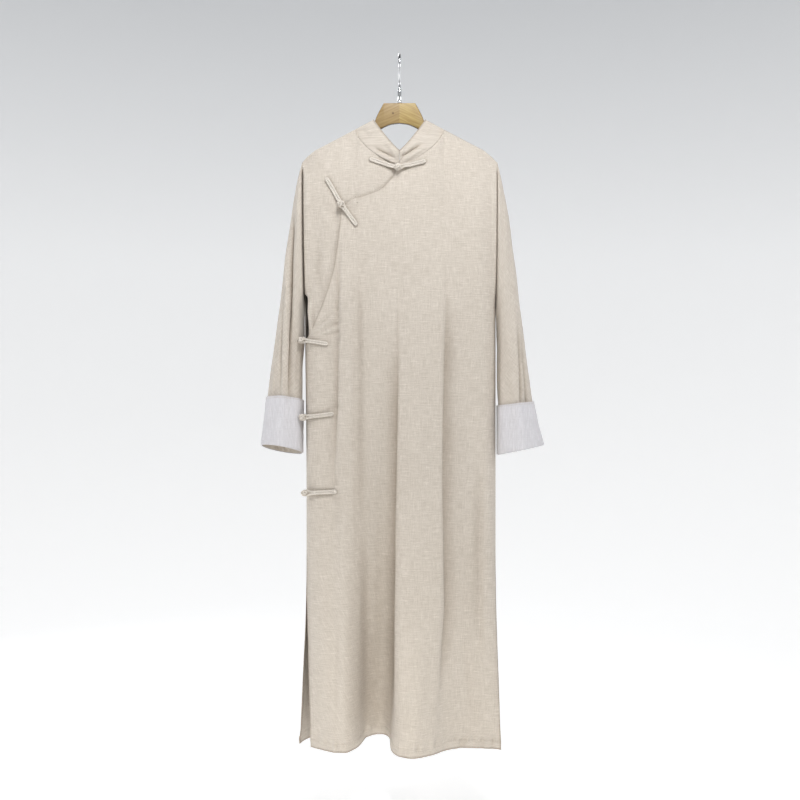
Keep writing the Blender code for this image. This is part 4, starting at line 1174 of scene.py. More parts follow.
def make_collar():
    """The stand collar, open at the front, with the creases that the closing pulls into it."""
    end = math.degrees(math.asin((COLLAR_OPENING / 2 / NECK_HALF) ** (NECK_FRONT_POWER / 2)))
    angles = np.linspace(end, 360 - end, COLLAR_COLUMNS)
    middle = np.zeros((COLLAR_ROWS, COLLAR_COLUMNS, 3))
    for column, angle in enumerate(angles):
        seam, top = neck_ring(angle)
        behind = max(0.0, -math.cos(math.radians(angle)))
        gap = (COLLAR_SEAM_GAP + (COLLAR_BACK_SEAM_GAP - COLLAR_SEAM_GAP) * behind) / 2
        start = seam + (top - seam) * gap / np.linalg.norm(top - seam)
        share = np.linspace(1.0, 0.0, COLLAR_ROWS)[:, None]
        middle[:, column] = start + (top - start) * share
    normal = grid_normals(middle, 1)
    outward = np.sum(normal * [0, 1, 0] * np.sign(middle[..., 1:2]), axis=-1).sum()
    normal = normal if outward > 0 else -normal
    turn = 1 if outward > 0 else -1
    x, y, z = middle[..., 0], middle[..., 1], middle[..., 2]
    share = np.linspace(0, 1, COLLAR_ROWS)[:, None]
    lift = sizes().crease_strength * creased(COLLAR_CREASES, x, z) * (y < 0)
    lift = lift + 0.35 * waves(x + y, z, 30.0, 61) * ease(share / 0.2) * ease((1 - share) / 0.2)
    lift = lift - 0.5 * bell(share - 0.1, 0.035)
    middle = middle + normal * lift[..., None]
    normal = grid_normals(middle, turn)
    half = sizes().collar_wall / MM / 2
    edge = bell(share, 0.05) + 0 * x
    made = cloth_shell("collar_band", middle + normal * half, middle - normal * half, linen(), edge)
    return dress(made, "gown_cloth", "collar")


def evenly(path, step, passes):
    """A path again with points a step apart, its corners rounded by averaging."""
    path = np.asarray(path, float)
    gone = gone_along(path)
    path = on_path(np.linspace(0, gone[-1], max(8, int(gone[-1] / step))), gone, path)
    for _ in range(passes):
        path[1:-1] = (path[:-2] + 2 * path[1:-1] + path[2:]) / 4
    return path


def cord_skin(path, upward, radius, sides, closed=False, flat=1.0, twist=0.0):
    """Points and faces of a round cloth cord along a path; upward is the side that faces out."""
    if closed:
        along = unit(np.roll(path, -1, axis=0) - np.roll(path, 1, axis=0))
    else:
        along = unit(np.gradient(path, axis=0))
    lateral = unit(np.cross(along, upward))
    high = np.cross(lateral, along)
    radius = np.broadcast_to(radius, len(path))
    turns = np.linspace(0, 2 * math.pi, sides, endpoint=False)
    rings = []
    for k in range(len(path)):
        swell = radius[k] * (1 + twist * np.cos(3 * turns + k * 0.9))
        ring = path[k] + np.outer(np.cos(turns) * swell, lateral[k])
        rings.append(ring + np.outer(np.sin(turns) * swell * flat, high[k]))
    points = np.concatenate(rings)
    faces = []
    spans = len(path) if closed else len(path) - 1
    ids = np.arange(len(points)).reshape(len(path), sides)
    for k in range(spans):
        here, there = ids[k], ids[(k + 1) % len(path)]
        faces.append(np.stack([here, np.roll(here, -1), np.roll(there, -1), there], axis=-1))
    faces = np.concatenate(faces)
    if not closed:
        caps = []
        for ring, middle in ((ids[0], len(points)), (ids[-1][::-1], len(points) + 1)):
            centre = np.full(sides, middle)
            caps.append(np.stack([np.roll(ring, -1), ring, centre, centre], -1))
        points = np.concatenate([points, [path[0]], [path[-1]]])
        faces = np.concatenate([faces] + caps)
    return points, faces


def add_skins(name, skins, material):
    """Adds one piece from several closed skins in millimetres."""
    points = []
    faces = []
    count = 0
    for own, own_faces in skins:
        if face_inwards(own, own_faces, own.mean(axis=0)):
            own_faces = own_faces[:, ::-1]
        points.append(own)
        faces += [list(dict.fromkeys(face)) for face in (own_faces + count).tolist()]
        count += len(own)
    return add_mesh(name, np.concatenate(points), faces, material, CORD_SHARP)


def knot_ball(centre, axis, beside, away, size):
    """The knotted ball: one cord that winds round it three times, over and under itself."""
    cord = sizes().cord_radius / MM * BALL_CORD
    turn = np.linspace(0, 2 * math.pi, 168, endpoint=False)
    level = math.radians(BALL_LATITUDE) * np.sin(BALL_WAVES * turn)
    reach = size - cord * 1.1 - BALL_WEAVE * np.sin(2 * BALL_WAVES * turn)
    round_it = np.cos(BALL_TURNS * turn)[:, None] * away + np.sin(BALL_TURNS * turn)[:, None] * beside
    round_it = np.cos(level)[:, None] * round_it
    outward = round_it + np.sin(level)[:, None] * axis
    return cord_skin(centre + outward * reach[:, None], outward, cord, 10, closed=True, twist=0.05)


def make_knot(number, line, normals, ball_at):
    """One knot button: a doubled cord with the ball, and a doubled cord with the loop round its stalk."""
    cord = sizes().cord_radius / MM
    pitch = 2 * cord - 0.2
    rest = cord + 0.35
    along = unit(np.gradient(line, axis=0))
    lateral = unit(np.cross(along, normals))
    centre, axis = line[ball_at], normals[ball_at]
    away, beside = along[ball_at], lateral[ball_at]

    def lanes(run, near, rise):
        """Both lanes of a doubled cord: up to the far end, round it and back."""
        share = np.linspace(0.0, 1.0, len(run))
        flare = pitch / 2 * np.ones(len(run))
        flare = flare + (near - pitch / 2) * ease((share - 0.8) / 0.2)
        height = rest + rise * ease((share - 0.62) / 0.38)
        base = line[run] + normals[run] * height[:, None]
        one = base + lateral[run] * flare[:, None]
        two = base - lateral[run] * flare[:, None]
        outward = -along[run[0]] if run[0] < run[-1] else along[run[0]]
        bend = []
        for angle in np.linspace(0, math.pi, 9)[1:-1]:
            side = lateral[run[0]] * math.cos(angle) * flare[0]
            bend.append(base[0] + side + outward * math.sin(angle) * flare[0])
        return one[::-1], np.array(bend), two

    one, bend, two = lanes(np.arange(0, ball_at + 1), cord * 0.8, sizes().ball_lift / MM - 9.0)
    path = evenly(np.concatenate([one, bend, two]), 0.9, 4)
    up = unit(on_path(np.linspace(0, 1, len(path)), [0, 0.5, 1], [axis, normals[0], axis]))
    strap = cord_skin(path, up, cord, 12, flat=0.94, twist=0.05)
    ball_centre = centre + axis * sizes().ball_lift / MM
    stalk = np.array([centre + axis * height for height in np.linspace(rest, sizes().ball_lift / MM, 6)])
    neck = cord_skin(stalk, np.tile(away, (6, 1)), cord * 0.95, 12)
    heights = np.linspace(-CORE_HALF, CORE_HALF, 9)
    core_path = np.array([ball_centre + axis * height for height in heights])
    core_size = CORE_RADIUS * np.sqrt(np.clip(1 - (heights / CORE_END) ** 2, 0, 1))
    core = cord_skin(core_path, np.tile(away, (9, 1)), core_size, 14)
    ball = knot_ball(ball_centre, axis, beside, away, sizes().ball_radius / MM)
    button = add_skins("knot_button_" + number, [strap, neck, core, ball], cord_cloth())
    dress(button, "knot_cord", "button_" + number)

    one, bend, two = lanes(np.arange(len(line) - 1, ball_at + 3, -1), pitch / 2, LOOP_LIFT)
    hub = centre + axis * (rest + LOOP_LIFT)
    ring = []
    for angle in np.linspace(*LOOP_ARC, 17):
        turn = math.radians(angle)
        ring.append(hub + 0.9 * LOOP_RADIUS * (away * math.cos(turn) + beside * math.sin(turn)))
    ring = np.array(ring)
    if np.linalg.norm(two[-1] - ring[0]) > np.linalg.norm(two[-1] - ring[-1]):
        ring = ring[::-1]
    path = np.concatenate([one, bend, two, ring])
    path = evenly(np.concatenate([path, path[:1]]), 0.9, 4)[:-1]
    path[0] = (path[-1] + path[1]) / 2
    loop = cord_skin(path, np.tile(axis, (len(path), 1)), cord, 12, closed=True, flat=0.94, twist=0.05)
    made = add_skins("knot_loop_" + number, [loop], cord_cloth())
    dress(made, "knot_cord", "loop_" + number)


def make_front_knots():
    """The two knots on the chest, at the neck and on the overlap."""
    for number, ball, button_end, loop_end in FRONT_KNOTS:
        marks = []
        for start, end in ((button_end, ball), (ball, loop_end)):
            for step in range(KNOT_STEPS):
                share = step / KNOT_STEPS
                marks.append([a + (b - a) * share for a, b in zip(start, end)])
        marks.append(loop_end)
        line = []
        normals = []
        for x, z in marks:
            across, down = FRONT.find(x, z)
            down = max(down, KNOT_LEAST_DOWN)
            line.append(FRONT.points(across, down)[0])
            normals.append(FRONT.outward(across, down)[0])
        line, normals = np.array(line), unit(np.array(normals))
        lift = CLOTH / 2 + FRONT.lift(line[:, 0], line[:, 2])
        make_knot(number, line + normals * lift[:, None], normals, KNOT_STEPS)


def side_wrap(z):
    """The outer surface round the left side at a height: distance from the seam, points, normals."""
    down = row_at(z)
    places = np.linspace(0.0, SIDE_WRAP_REACH, 61)
    points = np.concatenate([FRONT.points(places[::-1], down), BACK.points(places, down)])
    normals = np.concatenate([FRONT.outward(places[::-1], down), BACK.outward(places, down)])
    x, y, height = points.T
    lift = np.where(y < 0, FRONT.lift(x, height), BACK.lift(x, height))
    points = points + normals * (CLOTH / 2 + lift)[:, None]
    length = gone_along(points)
    return length - length[len(places) - 1], points, normals


def make_side_knots():
    """The three knots down the left side."""
    for number, ball_z, ball_place, loop_place, loop_z in SIDE_KNOTS:
        marks = [(SIDE_STRAP_BACK_END, ball_z), (ball_place, ball_z), (loop_place, loop_z)]
        line = []
        normals = []
        for (place_a, z_a), (place_b, z_b) in zip(marks[:-1], marks[1:]):
            last = marks[-1] == (place_b, z_b)
            for step in range(KNOT_STEPS + last):
                share = step / KNOT_STEPS
                place = place_a + (place_b - place_a) * share
                length, points, outs = side_wrap(z_a + (z_b - z_a) * share)
                line.append(on_path(place, length, points))
                normals.append(on_path(place, length, outs))
        make_knot(number, np.array(line), unit(np.array(normals)), KNOT_STEPS)


def make_hanger():
    """The hanger's two glued halves, flat at the block and rounded along the arms."""
    knots = column_of(HANGER_OUTLINE, 0)
    away = np.concatenate([np.linspace(0, HANGER_BLOCK_HALF, 7), np.linspace(34, 201, 84), [201.7, 202]])
    top = through(knots, column_of(HANGER_OUTLINE, 1), away)
    bottom = through(knots, column_of(HANGER_OUTLINE, 2), away)
    for side, turn in (("left", -1), ("right", 1)):
        rings = []
        for k in range(len(away)):
            rounding = ease((away[k] - HANGER_BLOCK_HALF) / 9)
            round_by = HANGER_BLOCK_ROUND + (HANGER_HALF_DEPTH - HANGER_BLOCK_ROUND) * rounding
            round_by = min(round_by, (top[k] - bottom[k]) / 2 - 0.5)
            x = turn * max(away[k], 0.01)
            ring = []
            for start, middle in ((0, top[k] - round_by), (180, bottom[k] + round_by)):
                for angle in np.radians(np.linspace(start, start + 180, 13)):
                    y = round_by * math.cos(angle)
                    y += math.copysign(HANGER_HALF_DEPTH - round_by, y)
                    ring.append((x, y, middle + round_by * math.sin(angle)))
            rings.append(ring)
        rings = np.array(rings)
        rings[-1] = rings[-1].mean(axis=0) + (rings[-1] - rings[-1].mean(axis=0)) * [1, 0.7, 0.8]
        count = rings.shape[1]
        ids = np.arange(rings.shape[0] * count).reshape(-1, count)
        here, there = ids[:-1], ids[1:]
        sides = [here, np.roll(here, -1, axis=1), np.roll(there, -1, axis=1), there]
        faces = np.stack(sides, axis=-1).reshape(-1, 4)
        points = rings.reshape(-1, 3)
        all_faces = faces.tolist() + [ids[0][::-1].tolist(), ids[-1].tolist()]
        if face_inwards(points, faces, points.mean(axis=0)):
            all_faces = [face[::-1] for face in all_faces]
        made = add_mesh("hanger_wood_" + side, points, all_faces, wood(side), WOOD_SHARP)
        dress(made, "wood_" + side, "hanger_half_" + side)


def make_hook():
    """The bent wire and the ferrule that holds it in the block."""
    bend = HOOK_INNER_RADIUS + WIRE_RADIUS
    path = [(0, y, z) for y, z in HOOK_SHANK]
    for angle in np.radians(np.linspace(180, HOOK_TIP_ANGLE, 60)):
        path.append((0, bend * math.cos(angle), -HOOK_INNER_RADIUS + bend * math.sin(angle)))
    path = evenly(path, 1.1, 14)
    end = unit(path[-1] - path[-2])
    radius = np.concatenate([np.full(len(path), WIRE_RADIUS), column_of(HOOK_TIP, 1)])
    path = np.concatenate([path, [path[-1] + end * past for past, _ in HOOK_TIP]])
    wire = cord_skin(path, np.tile([1.0, 0, 0], (len(path), 1)), radius, 28)
    dress(add_skins("hook_wire", [wire], chrome()), "chrome", "hook")
    path = np.array([(0.0, 0.0, height) for height, _ in FERRULE_SHAPE])
    skin = cord_skin(path, np.tile([1.0, 0, 0], (len(path), 1)), np.array(column_of(FERRULE_SHAPE, 1)), 44)
    dress(add_skins("hook_ferrule", [skin], chrome()), "chrome", "ferrule")


def plug(tree, socket, value):
    """Links an output to a socket, or fills the socket with a plain value."""
    if isinstance(value, bpy.types.NodeSocket):
        tree.links.new(value, socket)
    else:
        socket.default_value = value


def node(tree, kind, place, inputs=None, **values):
    """Adds a node, sets its named properties and fills its inputs."""
    made = tree.nodes.new(kind)
    made.location = place
    for name, value in values.items():
        setattr(made, name, value)
    for name, value in (inputs or {}).items():
        plug(tree, made.inputs[name], value)
    return made


def math_node(tree, operation, place, *inputs):
    """Adds a Math node and fills its sockets in order."""
    made = node(tree, "ShaderNodeMath", place, operation=operation)
    for socket, value in zip(made.inputs, inputs):
        plug(tree, socket, value)
    return made.outputs[0]


def new_group(name, kind, inputs, outputs):
    """A node group with its sockets, each a name and a kind, and its two end nodes."""
    tree = bpy.data.node_groups.new(name, kind)
    for way, sockets in (("INPUT", inputs), ("OUTPUT", outputs)):
        for label, socket in sockets:
            tree.interface.new_socket(label, in_out=way, socket_type="NodeSocket" + socket)
    return tree, node(tree, "NodeGroupInput", (-1400, 0)).outputs, node(tree, "NodeGroupOutput", (780, 0))


def stitch_tree():
    """Stitches of one size along an edge path, as small closed ovals."""
    name = "stitches_along_a_path"
    if name in bpy.data.node_groups:
        return bpy.data.node_groups[name]
    given = [("Geometry", "Geometry"), ("Pitch", "Float"), ("Stitch Length", "Float")]
    given += [("Thread Thickness", "Float"), ("Thread", "Material")]
    tree, start, end = new_group(name, "GeometryNodeTree", given, [("Geometry", "Geometry")])
    curve = node(tree, "GeometryNodeMeshToCurve", (-700, 100), {0: start["Geometry"]})
    spacing = {"Curve": curve.outputs[0], "Length": start["Pitch"]}
    spaced = node(tree, "GeometryNodeResampleCurve", (-520, 100), spacing, mode="LENGTH")
    tangent = node(tree, "GeometryNodeInputTangent", (-520, -60)).outputs[0]
    turned = node(tree, "FunctionNodeAlignRotationToVector", (-340, -60), {"Vector": tangent}, axis="X")
    ball = node(tree, "GeometryNodeMeshUVSphere", (-520, -240), {"Segments": 6, "Rings": 5, "Radius": 0.5})
    thick = start["Thread Thickness"]
    size = joined(tree, (-520, -420), start["Stitch Length"], thick, thick)
    shape = {"Geometry": ball.outputs["Mesh"], "Scale": size}
    shaped = node(tree, "GeometryNodeTransform", (-340, -240), shape)
    seats = {"Points": spaced.outputs[0], "Instance": shaped.outputs[0], "Rotation": turned.outputs[0]}
    placed = node(tree, "GeometryNodeInstanceOnPoints", (-140, 100), seats)
    real = node(tree, "GeometryNodeRealizeInstances", (40, 100), {0: placed.outputs[0]})
    smooth = node(tree, "GeometryNodeSetShadeSmooth", (200, 100), {0: real.outputs[0]})
    finish = {0: smooth.outputs[0], "Material": start["Thread"]}
    painted = node(tree, "GeometryNodeSetMaterial", (360, 100), finish)
    plug(tree, end.inputs[0], painted.outputs[0])
    return tree


def make_stitches(name, path, thread_finish):
    """A row of stitches along a path, made a plain mesh."""
    mesh = bpy.data.meshes.new(name + "_path")
    edges = [(k, k + 1) for k in range(len(path) - 1)]
    mesh.from_pydata((path * MM).tolist(), edges, [])
    drawn = add_object(name + "_path", mesh)
    modifier = drawn.modifiers.new("stitches", "NODES")
    modifier.node_group = stitch_tree()
    given = {
        "Pitch": sizes().stitch_pitch,
        "Stitch Length": sizes().stitch_length,
        "Thread Thickness": sizes().thread_thickness,
        "Thread": thread_finish,
    }
    for item in modifier.node_group.interface.items_tree:
        if item.in_out == "INPUT" and item.name in given:
            modifier[item.identifier] = given[item.name]
    graph = bpy.context.evaluated_depsgraph_get()
    plain = bpy.data.meshes.new_from_object(drawn.evaluated_get(graph))
    bpy.data.objects.remove(drawn)
    if len(plain.polygons) == 0:
        raise RuntimeError("no stitches were made for " + name)
    made = add_object(name, plain)
    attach(made, BODY)
    return made


def object_place(tree, place, kind="Object"):
    """Where a point lies on its object, or which way it faces."""
    return node(tree, "ShaderNodeTexCoord", place).outputs[kind]


def parts_of(tree, place, vector):
    """A vector's x, y and z."""
    return tuple(node(tree, "ShaderNodeSeparateXYZ", place, {0: vector}).outputs)


def joined(tree, place, x, y, z=0.0):
    """A vector of three values."""
    return node(tree, "ShaderNodeCombineXYZ", place, {"X": x, "Y": y, "Z": z}).outputs[0]


def map_range(tree, place, value, low, high, to_low=0.0, to_high=1.0):
    """Stretches a value from one range to another."""
    limits = {"Value": value, "From Min": low, "From Max": high, "To Min": to_low, "To Max": to_high}
    return node(tree, "ShaderNodeMapRange", place, limits).outputs[0]


def grained(tree, place, vector, scale, **more):
    """Noise over a place."""
    values = {"Scale": scale, "Vector": vector}
    values.update({name.capitalize(): value for name, value in more.items()})
    return node(tree, "ShaderNodeTexNoise", place, values).outputs[0]


def ramp(tree, place, value, low, high, start=0.0, end=1.0):
    """Goes from one colour to another over a value."""
    made = node(tree, "ShaderNodeValToRGB", place, {0: value})
    for element, position, colour in zip(made.color_ramp.elements, (start, end), (low, high)):
        element.position = position
        element.color = (*colour, 1)
    return made.outputs[0]


def mixed(tree, place, factor, first, second, kind="MIX"):
    """Mixes two colours by a factor."""
    made = node(tree, "ShaderNodeMix", place, {"Factor": factor}, data_type="RGBA", blend_type=kind)
    tints = [socket for socket in made.inputs if socket.type == "RGBA"]
    plug(tree, tints[0], first)
    plug(tree, tints[1], second)
    return next(socket for socket in made.outputs if socket.type == "RGBA")


def bump_normal(tree, place, height, strength, distance):
    """Normals of a surface that a height raises."""
    values = {"Strength": strength, "Distance": distance, "Height": height}
    return node(tree, "ShaderNodeBump", place, values).outputs[0]


def tinted(colour, *shares):
    """A colour with each channel brought down to its share."""
    return [channel * share for channel, share in zip(colour, shares)]


def weave_group():
    """Slubbed plain weave over the flat cloth: a tone round one half and a height."""
    name = "slubbed_weave"
    if name in bpy.data.node_groups:
        return bpy.data.node_groups[name]
    given = [("Place", "Vector"), ("Weft Slubs", "Float"), ("Warp Slubs", "Float"), ("Clouds", "Float")]
    tree, start, end = new_group(name, "ShaderNodeTree", given, [("Tone", "Float"), ("Height", "Float")])
    u, v, _ = parts_of(tree, (-1220, 0), start["Place"])

    def calc(operation, place, *inputs):
        return math_node(tree, operation, place, *inputs)

    def stretched(across, down, offset, row):
        """Noise whose grains are drawn out along the threads."""
        x, y = calc("MULTIPLY", (-1040, row), u, across), calc("MULTIPLY", (-1040, row - 160), v, down)
        place = joined(tree, (-860, row), x, y, offset)
        return grained(tree, (-680, row), place, 1.0, detail=2.0, roughness=0.55)

    def centred(value, strength, row):
        """Swings a noise round nought."""
        return calc("MULTIPLY_ADD", (-260, row), value, strength, -strength / 2)

    def threads(value, slub, strength, row):
        """Threads of one direction with their thick places."""
        slubs = map_range(tree, (-480, row), value, *SLUB_RANGE)
        return calc("MULTIPLY_ADD", (-100, row), slubs, slub, centred(value, strength, row))

    weft = threads(stretched(*WEFT_GRAIN, 600), 0.16, 0.74, 600)
    warp = threads(stretched(*WARP_GRAIN, 240), 0.14, 0.66, 240)
    fibre = centred(stretched(*FIBRE_GRAIN, -120), 0.55, -120)
    cloud = centred(stretched(*CLOUD_GRAIN, -480), 0.16, -480)
    tone = calc("MULTIPLY_ADD", (60, 500), weft, start["Weft Slubs"], 0.46)
    tone = calc("MULTIPLY_ADD", (200, 400), warp, start["Warp Slubs"], tone)
    tone = calc("ADD", (340, 300), fibre, tone)
    plug(tree, end.inputs["Tone"], calc("MULTIPLY_ADD", (480, 200), cloud, start["Clouds"], tone))
    rib_u = calc("SINE", (-260, -300), calc("MULTIPLY", (-420, -300), u, RIB_WAVES[0]))
    rib_v = calc("SINE", (-260, -460), calc("MULTIPLY", (-420, -460), v, RIB_WAVES[1]))
    height = calc("MULTIPLY_ADD", (100, -300), calc("MULTIPLY", (-60, -380), rib_u, rib_v), 0.12, weft)
    plug(tree, end.inputs["Height"], calc("ADD", (260, -300), height, warp))
    return tree


def new_finish(name, **values):
    """A material with its shader, and the tree to build on."""
    made = bpy.data.materials.new(name)
    made.use_nodes = True
    shader = made.node_tree.nodes["Principled BSDF"]
    for socket, value in values.items():
        shader.inputs[socket.replace("_", " ")].default_value = value
    return made, made.node_tree, shader.inputs


def woven(name, dark, light, slub_weft, slub_warp, clouds, bump, sheen, on_object=False, edge_and_shade_dark=0.64):
    """A slub cloth whose threads run along the flat cloth, or along the piece where it has none."""
    if name in bpy.data.materials:
        return bpy.data.materials[name]
    made, tree, shader = new_finish(name, Roughness=0.86, Sheen_Weight=sheen, Sheen_Roughness=0.5)
    shader["Specular IOR Level"].default_value = 0.25
    if on_object:
        x, y, z = parts_of(tree, (-1400, 0), object_place(tree, (-1560, 0)))
        place = joined(tree, (-1080, 0), math_node(tree, "ADD", (-1240, 60), x, y), z)
    else:
        place = node(tree, "ShaderNodeUVMap", (-1100, 0), uv_map="flat_cloth").outputs[0]
    slubs = {"Weft Slubs": slub_weft, "Warp Slubs": slub_warp, "Clouds": clouds, "Place": place}
    weave = node(tree, "ShaderNodeGroup", (-900, 0), slubs, node_tree=weave_group())
    cloth = mixed(tree, (-640, 120), weave.outputs["Tone"], (*dark, 1), (*light, 1))
    # A point attribute multiplies the cloth by a darker tint: darker edges, and painted shade in creases, in
    # the armhole's groove and beside the knots' straps
    worn = node(tree, "ShaderNodeAttribute", (-640, -120), attribute_name="worn").outputs["Fac"]
    shade = (edge_and_shade_dark, edge_and_shade_dark * 0.94, edge_and_shade_dark * 0.88, 1)
    plug(tree, shader["Base Color"], mixed(tree, (-420, 60), worn, cloth, shade, "MULTIPLY"))
    plug(tree, shader["Normal"], bump_normal(tree, (-420, -260), weave.outputs["Height"], bump, 0.0011))
    return made


def linen():
    """The gown's beige slub cloth."""
    return woven("beige_slub_cloth", colours().cloth_dark, colours().cloth_light, 1.0, 0.9, 1.0, 0.5, 0.12)


def lining():
    """The turned-back cuffs' white cloth."""
    tones = colours().cuff_dark, colours().cuff_light
    return woven("white_cuff_cloth", *tones, 0.5, 1.6, 0.8, 0.4, 0.1, edge_and_shade_dark=0.9)


def cord_cloth():
    """The knot cords' cloth, the same beige cut on the bias."""
    tones = colours().cord_dark, colours().cord_light
    return woven("knot_cord_cloth", *tones, 0.8, 0.8, 0.6, 0.5, 0.1, on_object=True)


def thread():
    """The sewing thread, a little darker than the cloth."""
    name = "sewing_thread"
    if name in bpy.data.materials:
        return bpy.data.materials[name]
    made, tree, shader = new_finish(name, Roughness=0.6)
    colour = colours().thread
    noise = grained(tree, (-700, 0), object_place(tree, (-900, 0)), 900.0)
    shade = ramp(tree, (-500, 0), noise, tinted(colour, 0.7, 0.7, 0.7), colour)
    plug(tree, shader["Base Color"], shade)
    return made


def wood(side):
    """Light varnished wood with grain along the arms, painted shade on the faces that turn up and down, and
    one small knot.
    """
    name = "pale_wood_" + side
    made, tree, shader = new_finish(name, Roughness=0.42, Coat_Weight=0.25, Coat_Roughness=0.25)
    base = getattr(colours(), "wood_" + side)
    x, y, z = parts_of(tree, (-1320, 0), object_place(tree, (-1500, 0)))

    def calc(operation, place, *inputs):
        return math_node(tree, operation, place, *inputs)

    fall = calc("MULTIPLY", (-1320, -240), calc("ABSOLUTE", (-1400, -240), x), WOOD_SLANT)
    bent = calc("ADD", (-1140, -120), z, fall)
    scaled = [calc("MULTIPLY", (-1140, 60), x, 14.0), calc("MULTIPLY", (-1140, 0), y, 90.0)]
    grain_place = joined(tree, (-960, 0), *scaled, calc("MULTIPLY", (-960, -160), bent, 190.0))
    grain = grained(tree, (-760, 0), grain_place, 1.6, detail=5.0, distortion=0.6)
    colour = ramp(tree, (-560, 0), grain, tinted(base, 0.70, 0.62, 0.52), base, 0.3, 0.68)
    # Painted shade on the faces that turn away from front and back: the top, the underside and the rounded
    # edges
    facing = parts_of(tree, (-560, -300), object_place(tree, (-760, -300), "Normal"))
    edge = map_range(tree, (-240, -300), calc("ABSOLUTE", (-400, -300), facing[1]), 0.95, 0.25)
    colour = mixed(tree, (-40, 0), edge, colour, (0.34, 0.26, 0.18, 1), "MULTIPLY")
    if side == "left":
        knot_x, knot_z, size = WOOD_KNOT
        dx = calc("SUBTRACT", (-1140, -500), x, knot_x * MM)
        dz = calc("SUBTRACT", (-1140, -620), z, knot_z * MM)
        square = calc("MULTIPLY_ADD", (-960, -560), dx, dx, calc("MULTIPLY", (-1060, -700), dz, dz))
        far = calc("SQRT", (-800, -560), square)
        spot = map_range(tree, (-600, -560), far, size * MM, size * MM * 0.3)
        colour = mixed(tree, (160, 0), spot, colour, (0.42, 0.34, 0.28, 1), "MULTIPLY")
    plug(tree, shader["Base Color"], colour)
    plug(tree, shader["Normal"], bump_normal(tree, (-40, -420), grain, 0.25, 0.0004))
    return made


def chrome():
    """Polished plating with faint wipe marks."""
    name = "polished_chrome"
    if name in bpy.data.materials:
        return bpy.data.materials[name]
    made, tree, shader = new_finish(name, Metallic=1.0)
    noise = grained(tree, (-700, 0), object_place(tree, (-900, 0)), 160.0, detail=4.0)
    plug(tree, shader["Roughness"], map_range(tree, (-500, -120), noise, 0.0, 1.0, 0.06, 0.2))
    colour = colours().chrome
    plug(tree, shader["Base Color"], ramp(tree, (-500, 120), noise, tinted(colour, 0.9, 0.9, 0.92), colour))
    return made


def backdrop_paper():
    """Pale paper that glows by itself as painted light, its colour and glow falling from near white at the
    floor to grey towards the top as painted shade, and dimmer towards the front.
    """
    made, tree, shader = new_finish("backdrop_paper", Roughness=0.95, Emission_Strength=1.0)
    shader["Specular IOR Level"].default_value = 0.0
    _, depth, up = parts_of(tree, (-700, 0), object_place(tree, (-900, 0)))
    height = map_range(tree, (-500, 0), up, FLOOR_Z * MM, 1.5)
    # Painted shade: colour and glow grow dimmer towards the front
    front_dimming = map_range(tree, (-500, 260), depth, -3.0, -0.2, 0.42)
    tones = ("Base Color", 0, colours().floor, colours().backdrop_top_painted_shade)
    # The glow is painted light: no lamp stands behind the paper
    painted_glows = ("Emission Color", -260, colours().floor_painted_glow, colours().backdrop_painted_glow)
    for socket, row, low, high in (tones, painted_glows):
        given = {0: ramp(tree, (-300, row), height, low, high), "Scale": front_dimming}
        dimmed = node(tree, "ShaderNodeVectorMath", (-80, row), given, operation="SCALE")
        plug(tree, shader[socket], dimmed.outputs[0])
    return made


def make_backdrop():
    """A pale round floor that sweeps up into a plain wall all round."""
    profile = [(0.5, FLOOR_Z), (900.0, FLOOR_Z), (WALL_RADIUS - SWEEP, FLOOR_Z)]
    for angle in np.radians(np.linspace(4, 90, 24)):
        out = WALL_RADIUS - SWEEP + SWEEP * math.sin(angle)
        profile.append((out, FLOOR_Z + SWEEP - SWEEP * math.cos(angle)))
    profile.append((WALL_RADIUS, 3400.0))
    turns = np.linspace(0, 2 * math.pi, 96, endpoint=False)
    points = [(out * math.cos(turn), out * math.sin(turn), z) for out, z in profile for turn in turns]
    ids = np.arange(len(points)).reshape(len(profile), -1)
    beside = np.roll(ids, -1, axis=1)
    faces = np.stack([ids[:-1], beside[:-1], beside[1:], ids[1:]], axis=-1).reshape(-1, 4).tolist()
    faces.append(ids[0].tolist())
    add_mesh("backdrop_sweep", points, faces, backdrop_paper())


def add_light(name, place, aim, size, power, colour):
    """A soft square lamp that points at a place."""
    lamp = bpy.data.lights.new(name, "AREA")
    lamp.shape = "SQUARE"
    lamp.size = size
    lamp.energy = power
    lamp.color = colour
    made = add_object(name, lamp)
    made.location = place
    made.rotation_euler = (Vector(aim) - Vector(place)).to_track_quat("-Z", "Y").to_euler()
    made.visible_camera = False


def make_stage():
    """Floor, backdrop, soft studio light and the camera at the photograph's angle."""
    scene = bpy.context.scene
    make_backdrop()
    for lamp in LAMPS:
        add_light(*lamp)
    world = bpy.data.worlds.new("studio_air")
    world.use_nodes = True
    air = world.node_tree.nodes["Background"].inputs
    air["Color"].default_value = (0.95, 0.97, 1.0, 1)
    air["Strength"].default_value = WORLD_STRENGTH
    scene.world = world
    lens = bpy.data.cameras.new("camera")
    lens.sensor_width = SENSOR
    lens.lens = SENSOR * -EYE[1] / FRAME_WIDTH
    lens.clip_start = 0.05
    lens.clip_end = 60.0
    scene.camera = add_object("camera", lens)
    scene.camera.location = [value * MM for value in EYE]
    scene.camera.rotation_euler = (math.pi / 2, 0.0, 0.0)
    scene.view_settings.view_transform = "Standard"


STITCH_LINES = {}


def length_property(name, description, default, low, high):
    """A length that a user may change."""
    return bpy.props.FloatProperty(
        name=name, description=description, default=default, min=low, max=high, unit="LENGTH", precision=5
    )


def colour_property(name, description, default):
    """A colour that a user may change."""
    return bpy.props.FloatVectorProperty(
        name=name, description=description, default=default, size=3, min=0.0, max=1.0, subtype="COLOR"
    )


